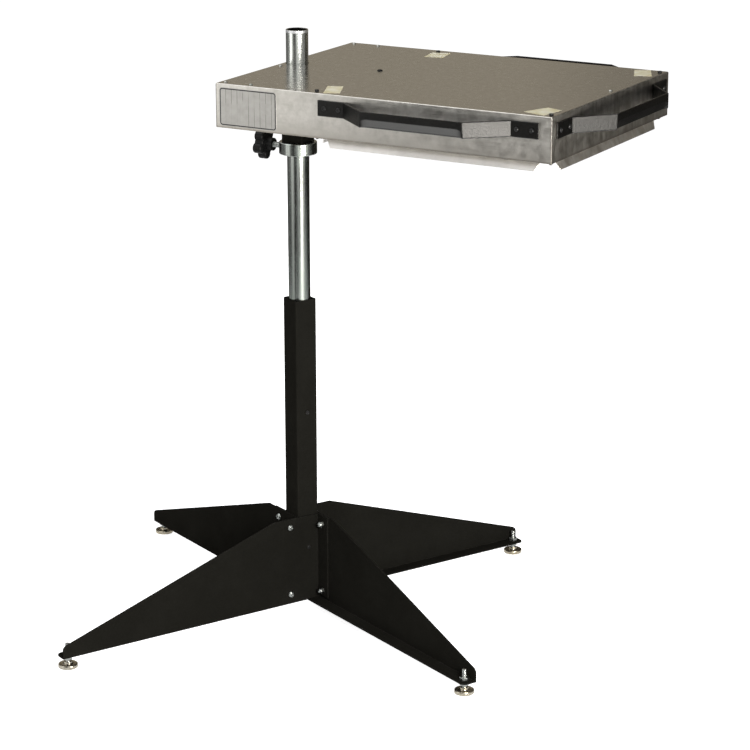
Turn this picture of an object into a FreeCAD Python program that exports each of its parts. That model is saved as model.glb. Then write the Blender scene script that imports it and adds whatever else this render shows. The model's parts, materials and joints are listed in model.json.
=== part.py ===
import FreeCAD
import Part
import Sketcher
import math
import operator
import os
from types import SimpleNamespace

Vector = FreeCAD.Vector
Rotation = FreeCAD.Rotation
Placement = FreeCAD.Placement

# Driving dimensions, millimetres and degrees
# The origin is on the floor under the post, +X runs from the post to the free end of the head.
driving = {
    # pedestal: square tube, round post
    "tube_side": 50.8,
    "tube_wall": 2.0,
    "tube_corner": 3.0,
    "tube_length": 674.0,
    "floor_thickness": 6.0,
    "post_gap": 0.15,
    "post_wall": 2.5,
    "post_rise": 571.0,
    "set_screw_diameter": 8.0,
    "set_screw_length": 4.8,
    "set_screw_rise": 426.0,
    # legs: four folded sheets set round the tube like a pinwheel
    "base_turn": -26.6,
    "leg_height": 194.0,
    "leg_sheet": 3.0,
    "leg_level": 90.0,
    "leg_reach": 603.0,
    "leg_tip": 27.0,
    "leg_tip_round": 12.0,
    "leg_flange": 33.5,
    "leg_bend": 2.0,
    "leg_gap": 0.5,
    "hub_flange": 40.6,
    "hub_flange_lift": 9.0,
    "hub_bolt_out": 21.6,
    "hub_bolt_top": 19.0,
    "hub_bolt_low": 22.0,
    "access_gap": 0.5,
    "access_rise": 121.0,
    # leg bolts and dome nuts
    "bolt_diameter": 8.0,
    "bolt_head": 14.0,
    "bolt_head_height": 4.4,
    "bolt_socket": 5.0,
    "nut_flats": 13.0,
    "nut_height": 6.5,
    "nut_run_out": 1.0,
    "nut_dome": 6.0,
    "thread_gap": 0.05,
    # levelling feet
    "foot_inset": 18.5,
    "foot_diameter": 41.0,
    "foot_edge": 1.0,
    "foot_rim": 3.0,
    "foot_height": 7.0,
    "foot_boss": 17.0,
    "foot_boss_rise": 6.0,
    "foot_shoulder": 3.0,
    "foot_travel": 5.0,
    "foot_stud": 10.0,
    "foot_stud_depth": 9.0,
    "foot_stud_rise": 17.0,
    "foot_nut_flats": 17.0,
    "foot_nut_height": 7.0,
    "foot_nut_room": 3.9,
    "foot_hole_gap": 0.5,
    "slide_gap": 0.1,
    # clamp collar and star knob
    "collar_wall": 16.4,
    "collar_height": 25.4,
    "collar_edge": 1.2,
    "collar_fit": 0.08,
    "swivel_gap": 0.3,
    "clamp_stud": 12.0,
    "clamp_stud_gap": 0.3,
    "knob_stand_off": 19.5,
    "knob_diameter": 65.0,
    "knob_core": 46.0,
    "knob_lobe": 22.0,
    "knob_thickness": 20.0,
    "knob_edge": 3.0,
    "knob_hub": 27.0,
    "knob_hub_length": 14.0,
    "knob_socket": 16.0,
    # head housing and its carrier at the post
    "post_above_head": 69.6,
    "head_height": 89.0,
    "head_sheet": 1.2,
    "head_round": 2.0,
    "post_hole_gap": 1.0,
    "sleeve_drop": 75.0,
    "channel_beyond": 33.2,
    "channel_sheet": 2.0,
    "channel_gap": 3.5,
    "wiring_room": 127.4,
    # heater
    "skirt_fold": 249.0,
    "skirt_corner": 14.0,
    "skirt_mitre": 14.0,
    "skirt_drop": 20.4,
    "skirt_flare": 10.5,
    "skirt_gap": 1.5,
    "hanger_out": 4.0,
    "cover_beyond": 9.0,
    "cover_side_gap": 9.8,
    "cover_end_gap": 0.8,
    "emitter_thickness": 4.0,
    "element_thickness": 2.0,
    "element_width": 8.0,
    "element_inset": 27.0,
    "element_tail": 15.0,
    "element_passes": 14,
    "insulation_thickness": 35.0,
    "hanger_diameter": 5.0,
    "hanger_gap": 0.4,
    "hanger_room": 4.0,
    "hanger_flats": 8.0,
    "hanger_head": 3.2,
    "hanger_nut": 4.0,
    "hanger_end": 2.0,
    # handles
    "handle_end_gap": 35.0,
    "handle_drop": 28.4,
    "back_handle_drop": 24.4,
    "end_handle_gap": 17.0,
    "end_handle_tab": 63.0,
    "handle_height": 31.0,
    "handle_sheet": 4.0,
    "handle_depth": 66.0,
    "handle_slope": 40.7,
    "handle_tab": 57.0,
    "handle_screw_outer": 14.0,
    "handle_screw_inner": 11.0,
    "grip_tuck": 4.5,
    "grip_tuck_end": 6.0,
    "screw_diameter": 5.0,
    "screw_head": 9.5,
    "screw_head_height": 2.7,
    "screw_socket": 3.0,
    # small screws and plug of the top
    "cover_screw": 4.0,
    "cover_screw_head": 8.0,
    "cover_screw_rise": 2.4,
    "cover_screw_grip": 6.0,
    "cover_screw_side": 14.8,
    "cover_screw_inner": 11.6,
    "cover_screw_from_sleeve": 22.2,
    "end_screw_shift": 22.0,
    "plug_hole": 8.0,
    "plug_dome": 12.0,
    "plug_rise": 3.0,
    # end bracket, electrical parts
    "bracket_width": 40.0,
    "bracket_leg": 28.0,
    "bracket_sheet": 2.0,
    "gland_side": 150.0,
    "gland_rise": 45.0,
    "gland_thread": 16.0,
    "gland_flats": 22.0,
    "gland_collar": 6.0,
    "gland_cap": 19.0,
    "gland_cap_length": 14.0,
    "gland_cap_edge": 1.0,
    "gland_bore": 9.0,
    "gland_nut": 5.0,
    "terminal_length": 64.0,
    "terminal_depth": 26.0,
    "terminal_height": 24.0,
    "terminal_from_heater": 36.0,
    "terminal_pocket": 9.0,
    "lead_bushing": 8.0,
    "lead_bushing_length": 8.0,
    "sleeve_screw": 6.0,
    "sleeve_screw_head": 12.0,
    "sleeve_screw_rise": 3.4,
    "sleeve_screw_inset": 20.0,
}

doc = FreeCAD.newDocument("flash_cure_unit")
sheet = doc.addObject("Spreadsheet::Sheet", "sizes")
for row, (name, value) in enumerate(driving.items(), start=1):
    sheet.set(f"A{row}", str(value))
    sheet.setAlias(f"A{row}", name)
doc.recompute()


# A size knows its number and the text that binds it to the sheet
operations = {
    "+": operator.add,
    "-": operator.sub,
    "*": operator.mul,
    "/": operator.truediv,
}


class Size:
    def __init__(self, text, number):
        self.text = text
        self.number = number

    def __add__(self, other):
        return joined(self, "+", other)

    def __radd__(self, other):
        return joined(other, "+", self)

    def __sub__(self, other):
        return joined(self, "-", other)

    def __rsub__(self, other):
        return joined(other, "-", self)

    def __mul__(self, other):
        return joined(self, "*", other)

    def __rmul__(self, other):
        return joined(other, "*", self)

    def __truediv__(self, other):
        return joined(self, "/", other)

    def __neg__(self):
        return joined(0, "-", self)

    def tangent(self):
        return Size(f"tan({self.text})", math.tan(math.radians(self.number)))


def as_size(value):
    if isinstance(value, Size):
        return value
    return Size(f"({value:.9g})", float(value))


def joined(left, sign, right):
    left = as_size(left)
    right = as_size(right)
    number = operations[sign](left.number, right.number)
    return Size(f"({left.text} {sign} {right.text})", number)


s = SimpleNamespace(**{name: Size(f"sizes.{name}", float(sheet.get(name))) for name in driving})


# Document helpers
def bind(item, place, size):
    item.setExpression(place, as_size(size).text)


def new_body(label, turn=None, x=0, y=0, z=0):
    body = doc.addObject("PartDesign::Body", label)
    body.Label = label
    if turn is not None:
        axis, angle = turn
        body.Placement = Placement(Vector(0, 0, 0), Rotation(axis, 1))
        bind(body, "Placement.Rotation.Angle", angle)
    for letter, size in (("x", x), ("y", y), ("z", z)):
        bind(body, f"Placement.Base.{letter}", size)
    return body


def new_sketch(body, plane, lift=0, x=0, y=0):
    sketch = body.newObject("Sketcher::SketchObject", "outline")
    support = next(item for item in body.Origin.OriginFeatures if item.Role == plane)
    sketch.AttachmentSupport = [(support, "")]
    sketch.MapMode = "FlatFace"
    for letter, size in (("x", x), ("y", y), ("z", lift)):
        bind(sketch, f"AttachmentOffset.Base.{letter}", size)
    return sketch


def constrain(sketch, size, *terms):
    size = as_size(size)
    index = sketch.addConstraint(Sketcher.Constraint(*terms, size.number))
    sketch.setExpression(f"Constraints[{index}]", size.text)


def fix_point(sketch, item, end, x, y):
    constrain(sketch, x, "DistanceX", -1, 1, item, end)
    constrain(sketch, y, "DistanceY", -1, 1, item, end)


def draw_outline(sketch, points):
    points = [(as_size(x), as_size(y)) for x, y in points]
    ends = [Vector(x.number, y.number, 0) for x, y in points]
    first = sketch.GeometryCount
    count = len(points)
    for i in range(count):
        sketch.addGeometry(Part.LineSegment(ends[i], ends[(i + 1) % count]))
    for i in range(count):
        following = first + (i + 1) % count
        sketch.addConstraint(Sketcher.Constraint("Coincident", first + i, 2, following, 1))
    for i, (x, y) in enumerate(points):
        fix_point(sketch, first + i, 1, x, y)


def draw_rectangle(sketch, x0, x1, y0, y1):
    draw_outline(sketch, [(x0, y0), (x1, y0), (x1, y1), (x0, y1)])


def draw_circle(sketch, x, y, diameter):
    x, y, diameter = as_size(x), as_size(y), as_size(diameter)
    ring = Part.Circle(Vector(x.number, y.number, 0), Vector(0, 0, 1), diameter.number / 2)
    item = sketch.addGeometry(ring)
    fix_point(sketch, item, 3, x, y)
    constrain(sketch, diameter, "Diameter", item)


def hexagon(flats):
    reach = flats / (2 * math.cos(math.pi / 6))
    angles = [math.radians(60 * k) for k in range(6)]
    return [(reach * math.cos(angle), reach * math.sin(angle)) for angle in angles]


def add_feature(body, kind, sketch, length=None, both=False, reverse=False):
    before = body.Shape.Volume if body.Tip else 0
    feature = body.newObject(f"PartDesign::{kind}", kind.lower())
    feature.Profile = sketch
    if length is None:
        feature.Type = "ThroughAll"
    else:
        bind(feature, "Length", length)
    feature.SideType = "Symmetric" if both else "One side"
    feature.Reversed = reverse
    doc.recompute()
    after = body.Shape.Volume
    if (kind == "Pad") != (after > before) or after == before:
        raise RuntimeError(f"{body.Label}: a {kind} changed nothing")
    return feature


def pad(body, sketch, length, **options):
    return add_feature(body, "Pad", sketch, length, **options)


def pocket(body, sketch, length=None, **options):
    return add_feature(body, "Pocket", sketch, length, **options)


def revolve(body, sketch):
    feature = body.newObject("PartDesign::Revolution", "turned")
    feature.Profile = sketch
    feature.ReferenceAxis = (sketch, ["V_Axis"])
    feature.Angle = 360
    doc.recompute()
    return feature


def pattern(body, feature, count):
    copies = body.newObject("PartDesign::PolarPattern", "copies")
    copies.Originals = [feature]
    axis = next(item for item in body.Origin.OriginFeatures if item.Role == "Z_Axis")
    copies.Axis = (axis, [""])
    copies.Angle = 360
    copies.Occurrences = count
    body.Tip = copies
    doc.recompute()
    return copies


def edge_names(feature, wanted):
    edges = enumerate(feature.Shape.Edges, start=1)
    return [f"Edge{number}" for number, edge in edges if wanted(edge)]


def soften(body, feature, kind, size, wanted):
    rounded = body.newObject(f"PartDesign::{kind}", kind.lower())
    rounded.Base = (feature, edge_names(feature, wanted))
    bind(rounded, "Radius" if kind == "Fillet" else "Size", size)
    doc.recompute()
    return rounded


def runs_along(edge, axis):
    if not isinstance(edge.Curve, Part.Line):
        return False
    return abs(edge.tangentAt(edge.FirstParameter).dot(axis)) > 0.999


def middle(edge):
    return edge.valueAt((edge.FirstParameter + edge.LastParameter) / 2)


def near(value, size):
    return abs(value - as_size(size).number) < 0.01


def group(label, seed, places):
    copies = []
    for place in places:
        copy = seed.Shape.copy()
        copy.Placement = place.multiply(copy.Placement)
        copies.append(copy)
    item = doc.addObject("Part::Feature", label)
    item.Label = label
    item.Shape = Part.makeCompound(copies)
    return item


def at(x, y, z, turn=None):
    spot = Vector(as_size(x).number, as_size(y).number, as_size(z).number)
    return Placement(spot, turn or Rotation())


z_to_minus_x = Rotation(Vector(0, 1, 0), -90)
z_to_plus_x = Rotation(Vector(0, 1, 0), 90)
z_to_plus_y = Rotation(Vector(1, 0, 0), -90)
z_to_minus_y = Rotation(Vector(1, 0, 0), 90)
upright = Vector(0, 0, 1)
pieces = []


def keep(item):
    pieces.append(item)
    return item


# Sizes worked out from the driving ones
half_tube = s.tube_side / 2
tube_inside = s.tube_side - 2 * s.tube_wall
post_diameter = tube_inside - 2 * s.post_gap
post_radius = post_diameter / 2
foot_boss_top = s.foot_height + s.foot_boss_rise
leg_bottom = foot_boss_top + s.foot_travel + s.foot_nut_height
leg_top = leg_bottom + s.leg_height
tube_top = leg_bottom + s.tube_length
post_foot = leg_bottom + s.floor_thickness
post_top = tube_top + s.post_rise
leg_outside = half_tube + s.leg_sheet
foot_u = s.leg_reach - s.foot_inset
foot_nut_corner = s.foot_nut_flats / (2 * math.cos(math.pi / 6))
foot_v = half_tube - foot_nut_corner - s.foot_nut_room
foot_nut_top = leg_bottom + s.leg_sheet + s.foot_nut_height
access_height = leg_bottom + s.access_rise
set_screw_height = leg_bottom + s.set_screw_rise
hub_bolt_u = half_tube + s.hub_bolt_out
hub_bolt_heights = (leg_top - s.hub_bolt_top, leg_bottom + s.hub_bolt_low)
head_top = post_top - s.post_above_head
head_bottom = head_top - s.head_height
inner_top = head_top - s.head_sheet
panel_top = head_bottom + s.head_sheet
sleeve_bottom = head_bottom - s.sleeve_drop
collar_top = sleeve_bottom - s.swivel_gap
collar_bottom = collar_top - s.collar_height
collar_middle = collar_top - s.collar_height / 2
collar_bore = post_radius + s.collar_fit
collar_rim = collar_bore + s.collar_wall
knob_bottom = collar_rim + s.knob_stand_off
knob_back = knob_bottom + s.knob_hub_length
hanger_half = s.skirt_fold + s.hanger_out
cover_half = hanger_half + s.cover_beyond
cover_inside = cover_half - s.head_sheet
inner_half = cover_half + s.cover_side_gap
head_half = inner_half + s.head_sheet
inner_left = -half_tube
head_left = inner_left - s.head_sheet
channel_right = half_tube + s.channel_beyond
heater_left = channel_right + s.wiring_room
heater_x = heater_left + cover_half
inner_right = heater_x + cover_half + s.cover_end_gap
head_right = inner_right + s.head_sheet
rim_top = panel_top + s.head_sheet
emitter_top = rim_top + s.emitter_thickness
element_top = emitter_top + s.element_thickness
insulation_top = element_top + s.insulation_thickness
cover_top = insulation_top + s.head_sheet
skirt_half = s.skirt_fold - s.skirt_corner
handle_middle = head_top - s.handle_drop
back_handle_middle = head_top - s.back_handle_drop
leg_names = ("front_right", "back_right", "back_left", "front_left")
hanger_spots = [(i, k) for i in (-1, 1) for k in (-1, 1)]


def leg_turn(number):
    return s.base_turn + 90 * number


def leg_place(number, u, v, z, turn=None):
    swing = Placement(Vector(0, 0, 0), Rotation(upright, leg_turn(number).number))
    return swing.multiply(at(u, v, z, turn))


# Pedestal tube: square, with round corners and threaded holes for the set screws
def square_tube(label, bottom, top, turn):
    body = keep(new_body(label, turn))
    outer = new_sketch(body, "XY_Plane", bottom)
    draw_rectangle(outer, -half_tube, half_tube, -half_tube, half_tube)
    block = pad(body, outer, top - bottom)
    soften(body, block, "Fillet", s.tube_corner, lambda edge: runs_along(edge, upright))
    bore = new_sketch(body, "XY_Plane", top)
    draw_rectangle(bore, -tube_inside / 2, tube_inside / 2, -tube_inside / 2, tube_inside / 2)
    pocket(body, bore)
    return body


base_turn = (upright, s.base_turn)
tube = square_tube("pedestal_tube", leg_bottom, tube_top, base_turn)
set_screw_hole = s.set_screw_diameter + 2 * s.thread_gap
for plane in ("XZ_Plane", "YZ_Plane"):
    crossing = new_sketch(tube, plane)
    draw_circle(crossing, 0, access_height, set_screw_hole)
    pocket(tube, crossing, both=True)
upper_hole = new_sketch(tube, "YZ_Plane")
draw_circle(upper_hole, 0, set_screw_height, set_screw_hole)
pocket(tube, upper_hole, s.tube_side, reverse=True)

# Floor of the tube, which carries the post
floor = keep(new_body("tube_floor", base_turn))
floor_outline = new_sketch(floor, "XY_Plane", leg_bottom)
draw_rectangle(floor_outline, -tube_inside / 2, tube_inside / 2, -tube_inside / 2, tube_inside / 2)
pad(floor, floor_outline, s.floor_thickness)

# Round post, open at the top
post = keep(new_body("post"))
post_ring = new_sketch(post, "XY_Plane", post_foot)
draw_circle(post_ring, 0, 0, post_diameter)
draw_circle(post_ring, 0, 0, post_diameter - 2 * s.post_wall)
pad(post, post_ring, post_top - post_foot)


# Set screws through the tube wall, against the post
def socket_recess(body, plane_lift, flats, depth):
    recess = new_sketch(body, "XY_Plane", plane_lift)
    draw_outline(recess, hexagon(flats))
    pocket(body, recess, depth)


set_screw = new_body("set_screw_seed")
set_screw_round = new_sketch(set_screw, "XY_Plane")
draw_circle(set_screw_round, 0, 0, s.set_screw_diameter)
pad(set_screw, set_screw_round, s.set_screw_length)
socket_recess(set_screw, s.set_screw_length, s.set_screw_diameter / 2, s.set_screw_length / 2)
screw_places = [
    leg_place(number, 0, post_radius, access_height, z_to_plus_y) for number in range(4)
]
screw_places.append(leg_place(0, post_radius, 0, set_screw_height, z_to_plus_x))
keep(group("post_set_screws", set_screw, screw_places))


# Leg: a web along one face of the tube, a foot flange along its bottom edge
# and a hub flange that is bolted to the next leg's web
def make_leg(number):
    body = keep(new_body(f"leg_{leg_names[number]}", (upright, leg_turn(number))))
    web = new_sketch(body, "XZ_Plane", -half_tube)
    draw_outline(web, [
        (-half_tube, leg_bottom),
        (s.leg_reach, leg_bottom),
        (s.leg_reach, leg_bottom + s.leg_tip),
        (s.leg_level, leg_top),
        (-half_tube, leg_top),
    ])
    pad(body, web, s.leg_sheet, reverse=True)
    flange = new_sketch(body, "XY_Plane", leg_bottom)
    flange_edge = leg_outside - s.leg_flange
    draw_rectangle(flange, leg_outside + s.leg_gap, s.leg_reach, flange_edge, leg_outside)
    pad(body, flange, s.leg_sheet)
    hub = new_sketch(body, "YZ_Plane", -half_tube)
    hub_low = leg_bottom + s.hub_flange_lift
    draw_rectangle(hub, half_tube, half_tube + s.hub_flange, hub_low, leg_top)
    folded = pad(body, hub, s.leg_sheet)

    def at_tip(edge):
        spot = middle(edge)
        at_end = near(spot.x, s.leg_reach)
        web_corner = near(spot.z, leg_bottom + s.leg_tip) and runs_along(edge, Vector(0, 1, 0))
        flange_corner = near(spot.y, flange_edge) and runs_along(edge, upright)
        return at_end and (web_corner or flange_corner)

    def at_bend(edge):
        spot = middle(edge)
        return near(spot.y, leg_outside) and near(spot.z, leg_bottom) and edge.Length > 100

    tip = soften(body, folded, "Fillet", s.leg_tip_round, at_tip)
    soften(body, tip, "Fillet", s.leg_bend, at_bend)
    stud_hole = new_sketch(body, "XY_Plane", leg_bottom + s.leg_sheet)
    draw_circle(stud_hole, foot_u, foot_v, s.foot_stud + 2 * s.foot_hole_gap)
    pocket(body, stud_hole)
    web_holes = new_sketch(body, "XZ_Plane", -half_tube)
    hub_holes = new_sketch(body, "YZ_Plane", -half_tube)
    bolt_hole = s.bolt_diameter + 2 * s.thread_gap
    for height in hub_bolt_heights:
        draw_circle(web_holes, hub_bolt_u, height, bolt_hole)
        draw_circle(hub_holes, hub_bolt_u, height, bolt_hole)
    draw_circle(web_holes, 0, access_height, s.set_screw_diameter + 2 * s.access_gap)
    pocket(body, web_holes)
    pocket(body, hub_holes, reverse=True)


for leg_number in range(4):
    make_leg(leg_number)


# Button-head bolt with a hexagon socket, seat at z = 0 and shank below
def button_bolt(label, diameter, head, head_height, socket, shank):
    body = new_body(label)
    section = new_sketch(body, "XZ_Plane")
    draw_outline(section, [
        (0, -shank),
        (diameter / 2, -shank),
        (diameter / 2, 0),
        (head / 2, 0),
        (head / 2, head_height / 4),
        (head * 0.42, head_height * 0.68),
        (head * 0.28, head_height),
        (0, head_height),
    ])
    revolve(body, section)
    if socket is not None:
        socket_recess(body, head_height, socket, head_height / 2)
    return body


# Hexagon nut standing on z = 0, with a dome over it where the dome is given
def hexagon_nut(label, flats, height, bore, dome=None):
    body = new_body(label)
    outline = new_sketch(body, "XY_Plane")
    draw_outline(outline, hexagon(flats))
    pad(body, outline, height)
    if dome is not None:
        crown = new_sketch(body, "XZ_Plane")
        draw_outline(crown, [
            (0, height),
            (flats * 0.47, height),
            (flats * 0.44, height + dome * 0.35),
            (flats * 0.3, height + dome * 0.8),
            (flats * 0.12, height + dome),
            (0, height + dome),
        ])
        revolve(body, crown)
    hole = new_sketch(body, "XY_Plane")
    draw_circle(hole, 0, 0, bore)
    pocket(body, hole, height + s.nut_run_out, reverse=True)
    return body


bolt_shank = 2 * s.leg_sheet + s.nut_height
leg_bolt = button_bolt(
    "leg_bolt_seed", s.bolt_diameter, s.bolt_head, s.bolt_head_height, s.bolt_socket, bolt_shank,
)
leg_nut = hexagon_nut(
    "leg_nut_seed", s.nut_flats, s.nut_height, s.bolt_diameter + 2 * s.thread_gap, s.nut_dome,
)
bolt_places = []
nut_places = []
for leg_number in range(4):
    for height in hub_bolt_heights:
        bolt_places.append(leg_place(leg_number, hub_bolt_u, leg_outside, height, z_to_plus_y))
        nut_seat = half_tube - s.leg_sheet
        nut_places.append(leg_place(leg_number, hub_bolt_u, nut_seat, height, z_to_minus_y))
keep(group("leg_bolts", leg_bolt, bolt_places))
keep(group("leg_nuts", leg_nut, nut_places))


# Levelling foot: a turned pad and a stud that screws through two nuts on the leg
def make_foot(number):
    turn = (upright, leg_turn(number))
    foot_pad = keep(new_body(f"foot_pad_{leg_names[number]}", turn))
    section = new_sketch(foot_pad, "XZ_Plane", -foot_v, foot_u)
    rim = s.foot_diameter / 2
    boss = s.foot_boss / 2
    bore = s.foot_stud / 2
    stud_low = foot_boss_top - s.foot_stud_depth
    draw_outline(section, [
        (0, 0),
        (rim - s.foot_edge, 0),
        (rim, s.foot_edge),
        (rim, s.foot_rim),
        (boss + s.foot_shoulder, s.foot_height),
        (boss, s.foot_height + s.foot_edge),
        (boss, foot_boss_top - s.foot_edge),
        (boss - s.foot_edge, foot_boss_top),
        (bore, foot_boss_top),
        (bore, stud_low),
        (0, stud_low),
    ])
    revolve(foot_pad, section)
    stud = keep(new_body(f"foot_stud_{leg_names[number]}", turn))
    stud_section = new_sketch(stud, "XZ_Plane", -foot_v, foot_u)
    stud_top = foot_nut_top + s.foot_stud_rise
    draw_outline(stud_section, [
        (0, stud_low),
        (bore, stud_low),
        (bore, stud_top - s.foot_edge),
        (bore - s.foot_edge, stud_top),
        (0, stud_top),
    ])
    revolve(stud, stud_section)


for leg_number in range(4):
    make_foot(leg_number)

foot_nut = new_body("foot_nut_seed")
foot_nut_outline = new_sketch(foot_nut, "XY_Plane")
draw_outline(foot_nut_outline, hexagon(s.foot_nut_flats))
draw_circle(foot_nut_outline, 0, 0, s.foot_stud + 2 * s.slide_gap)
pad(foot_nut, foot_nut_outline, s.foot_nut_height)
foot_nut_places = []
for leg_number in range(4):
    foot_nut_places.append(leg_place(leg_number, foot_u, foot_v, leg_bottom + s.leg_sheet))
    foot_nut_places.append(leg_place(leg_number, foot_u, foot_v, leg_bottom - s.foot_nut_height))
keep(group("foot_nuts", foot_nut, foot_nut_places))

# Clamp collar on the post, with a threaded hole for the clamp stud
collar = keep(new_body("clamp_collar"))
collar_section = new_sketch(collar, "XZ_Plane")
draw_outline(collar_section, [
    (collar_bore, collar_bottom),
    (collar_rim - s.collar_edge, collar_bottom),
    (collar_rim, collar_bottom + s.collar_edge),
    (collar_rim, collar_top - s.collar_edge),
    (collar_rim - s.collar_edge, collar_top),
    (collar_bore, collar_top),
])
revolve(collar, collar_section)
collar_hole = new_sketch(collar, "YZ_Plane")
draw_circle(collar_hole, 0, collar_middle, s.clamp_stud + 2 * s.slide_gap)
pocket(collar, collar_hole)

# Clamp stud and star knob, built along the knob's own axis, which points to -X
knob_turn = (Vector(0, 1, 0), -90)
stud = keep(new_body("clamp_stud", knob_turn, z=collar_middle))
stud_round = new_sketch(stud, "XY_Plane", post_radius + s.clamp_stud_gap)
draw_circle(stud_round, 0, 0, s.clamp_stud)
pad(stud, stud_round, knob_bottom + s.knob_socket - post_radius - s.clamp_stud_gap)

knob = keep(new_body("clamp_knob", knob_turn, z=collar_middle))
knob_lobe = new_sketch(knob, "XY_Plane", knob_back)
draw_circle(knob_lobe, s.knob_lobe / 2 - s.knob_diameter / 2, 0, s.knob_lobe)
lobe = pad(knob, knob_lobe, s.knob_thickness)
core_round = new_sketch(knob, "XY_Plane", knob_back)
draw_circle(core_round, 0, 0, s.knob_core)
pad(knob, core_round, s.knob_thickness)
star = pattern(knob, lobe, 5)
hub_round = new_sketch(knob, "XY_Plane", knob_bottom)
draw_circle(hub_round, 0, 0, s.knob_hub)
hub = pad(knob, hub_round, s.knob_hub_length)


def on_knob_rim(edge):
    spot = middle(edge)
    far_out = math.hypot(spot.x, spot.y) > s.knob_hub.number / 2 + 1
    on_face = near(spot.z, knob_back) or near(spot.z, knob_back + s.knob_thickness)
    return far_out and on_face


soften(knob, hub, "Fillet", s.knob_edge, on_knob_rim)
knob_hole = new_sketch(knob, "XY_Plane", knob_bottom)
draw_circle(knob_hole, 0, 0, s.clamp_stud)
pocket(knob, knob_hole, s.knob_socket, reverse=True)

# Swivel sleeve: the same square tube, turning on the post under and inside the head
sleeve = square_tube("swivel_sleeve", sleeve_bottom, inner_top - s.head_round, None)
sleeve_screw_heights = (panel_top + s.sleeve_screw_inset, inner_top - s.sleeve_screw_inset)
sleeve_hole = s.sleeve_screw + 2 * s.thread_gap
sleeve_holes = new_sketch(sleeve, "YZ_Plane")
for height in sleeve_screw_heights:
    draw_circle(sleeve_holes, 0, height, sleeve_hole)
pocket(sleeve, sleeve_holes)

# Places of the small screws of the top, from the left end
screw_x = head_left + s.cover_screw_side
screw_y = head_half - s.cover_screw_side
inner_screw_x = channel_right - s.cover_screw_inner
near_post_y = half_tube + s.cover_screw_from_sleeve
channel_screws = [
    (x, side * y)
    for x, y in ((screw_x, screw_y), (screw_x, near_post_y), (inner_screw_x, screw_y))
    for side in (-1, 1)
]
end_screw = (head_right - s.cover_screw_side, s.end_screw_shift)
cover_hole = s.cover_screw + 2 * s.thread_gap
hanger_hole = s.hanger_diameter + 2 * s.hanger_gap


def handle_run(end_gap, tab):
    half = head_half - end_gap
    tab_in = half - tab
    grip = tab_in - (s.handle_depth - s.handle_sheet) / s.handle_slope.tangent()
    places = (half - s.handle_screw_outer, tab_in + s.handle_screw_inner)
    return half, tab_in, grip, [side * place for side in (-1, 1) for place in places]


side_run = handle_run(s.handle_end_gap, s.handle_tab)
end_run = handle_run(s.end_handle_gap, s.end_handle_tab)
side_screws = side_run[-1]
end_screws = end_run[-1]
handle_hole = s.screw_diameter + 2 * s.thread_gap
gland_z = head_bottom + s.gland_rise
plug_x = heater_x - hanger_half

# Head housing: one folded sheet, top and four walls, open underneath
housing = keep(new_body("head_housing"))
housing_outline = new_sketch(housing, "XY_Plane", head_bottom)
draw_rectangle(housing_outline, head_left, head_right, -head_half, head_half)
housing_block = pad(housing, housing_outline, s.head_height)
housing_bent = soften(
    housing, housing_block, "Fillet", s.head_round,
    lambda edge: not near(middle(edge).z, head_bottom),
)
faces = enumerate(housing_bent.Shape.Faces, start=1)
underside = [f"Face{number}" for number, face in faces if near(face.BoundBox.ZMax, head_bottom)]
shell = housing.newObject("PartDesign::Thickness", "shell")
shell.Base = (housing_bent, underside)
bind(shell, "Value", s.head_sheet)
shell.Reversed = True
doc.recompute()
top_holes = new_sketch(housing, "XY_Plane", head_top)
draw_circle(top_holes, 0, 0, post_diameter + 2 * s.post_hole_gap)
for x, y in channel_screws + [end_screw]:
    draw_circle(top_holes, x, y, cover_hole)
for i, k in hanger_spots:
    draw_circle(top_holes, heater_x + i * hanger_half, k * hanger_half, hanger_hole)
draw_circle(top_holes, plug_x, 0, s.plug_hole)
pocket(housing, top_holes, s.head_height / 2)
front_holes = new_sketch(housing, "XZ_Plane")
back_holes = new_sketch(housing, "XZ_Plane")
for offset in side_screws:
    draw_circle(front_holes, heater_x + offset, handle_middle, handle_hole)
    draw_circle(back_holes, heater_x + offset, back_handle_middle, handle_hole)
pocket(housing, front_holes, reverse=True)
pocket(housing, back_holes)
end_holes = new_sketch(housing, "YZ_Plane")
for offset in end_screws:
    draw_circle(end_holes, offset, handle_middle, handle_hole)
pocket(housing, end_holes, reverse=True)
left_holes = new_sketch(housing, "YZ_Plane")
for height in sleeve_screw_heights:
    draw_circle(left_holes, 0, height, sleeve_hole)
draw_circle(left_holes, s.gland_side, gland_z, s.gland_thread)
pocket(housing, left_holes)

# Cross channel at the post end: it carries the sleeve between top and bottom
channel = keep(new_body("mounting_channel"))
channel_section = new_sketch(channel, "XZ_Plane")
channel_left = inner_left + s.channel_gap
draw_outline(channel_section, [
    (channel_left, panel_top),
    (channel_right, panel_top),
    (channel_right, inner_top),
    (channel_left, inner_top),
    (channel_left, inner_top - s.channel_sheet),
    (channel_right - s.channel_sheet, inner_top - s.channel_sheet),
    (channel_right - s.channel_sheet, panel_top + s.channel_sheet),
    (channel_left, panel_top + s.channel_sheet),
])
pad(channel, channel_section, 2 * (inner_half - s.channel_gap), both=True)
sleeve_notch = new_sketch(channel, "XY_Plane", inner_top)
draw_rectangle(sleeve_notch, 2 * inner_left, half_tube, -half_tube, half_tube)
pocket(channel, sleeve_notch)
flange_holes = new_sketch(channel, "XY_Plane", inner_top)
for x, y in channel_screws:
    draw_circle(flange_holes, x, y, cover_hole)
pocket(channel, flange_holes, s.head_height / 2)


# Square outline with cut corners about the heater's centre
def octagon(half, straight):
    corners = [(half, -straight), (half, straight), (straight, half), (-straight, half)]
    return corners + [(-x, -y) for x, y in corners]


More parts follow.
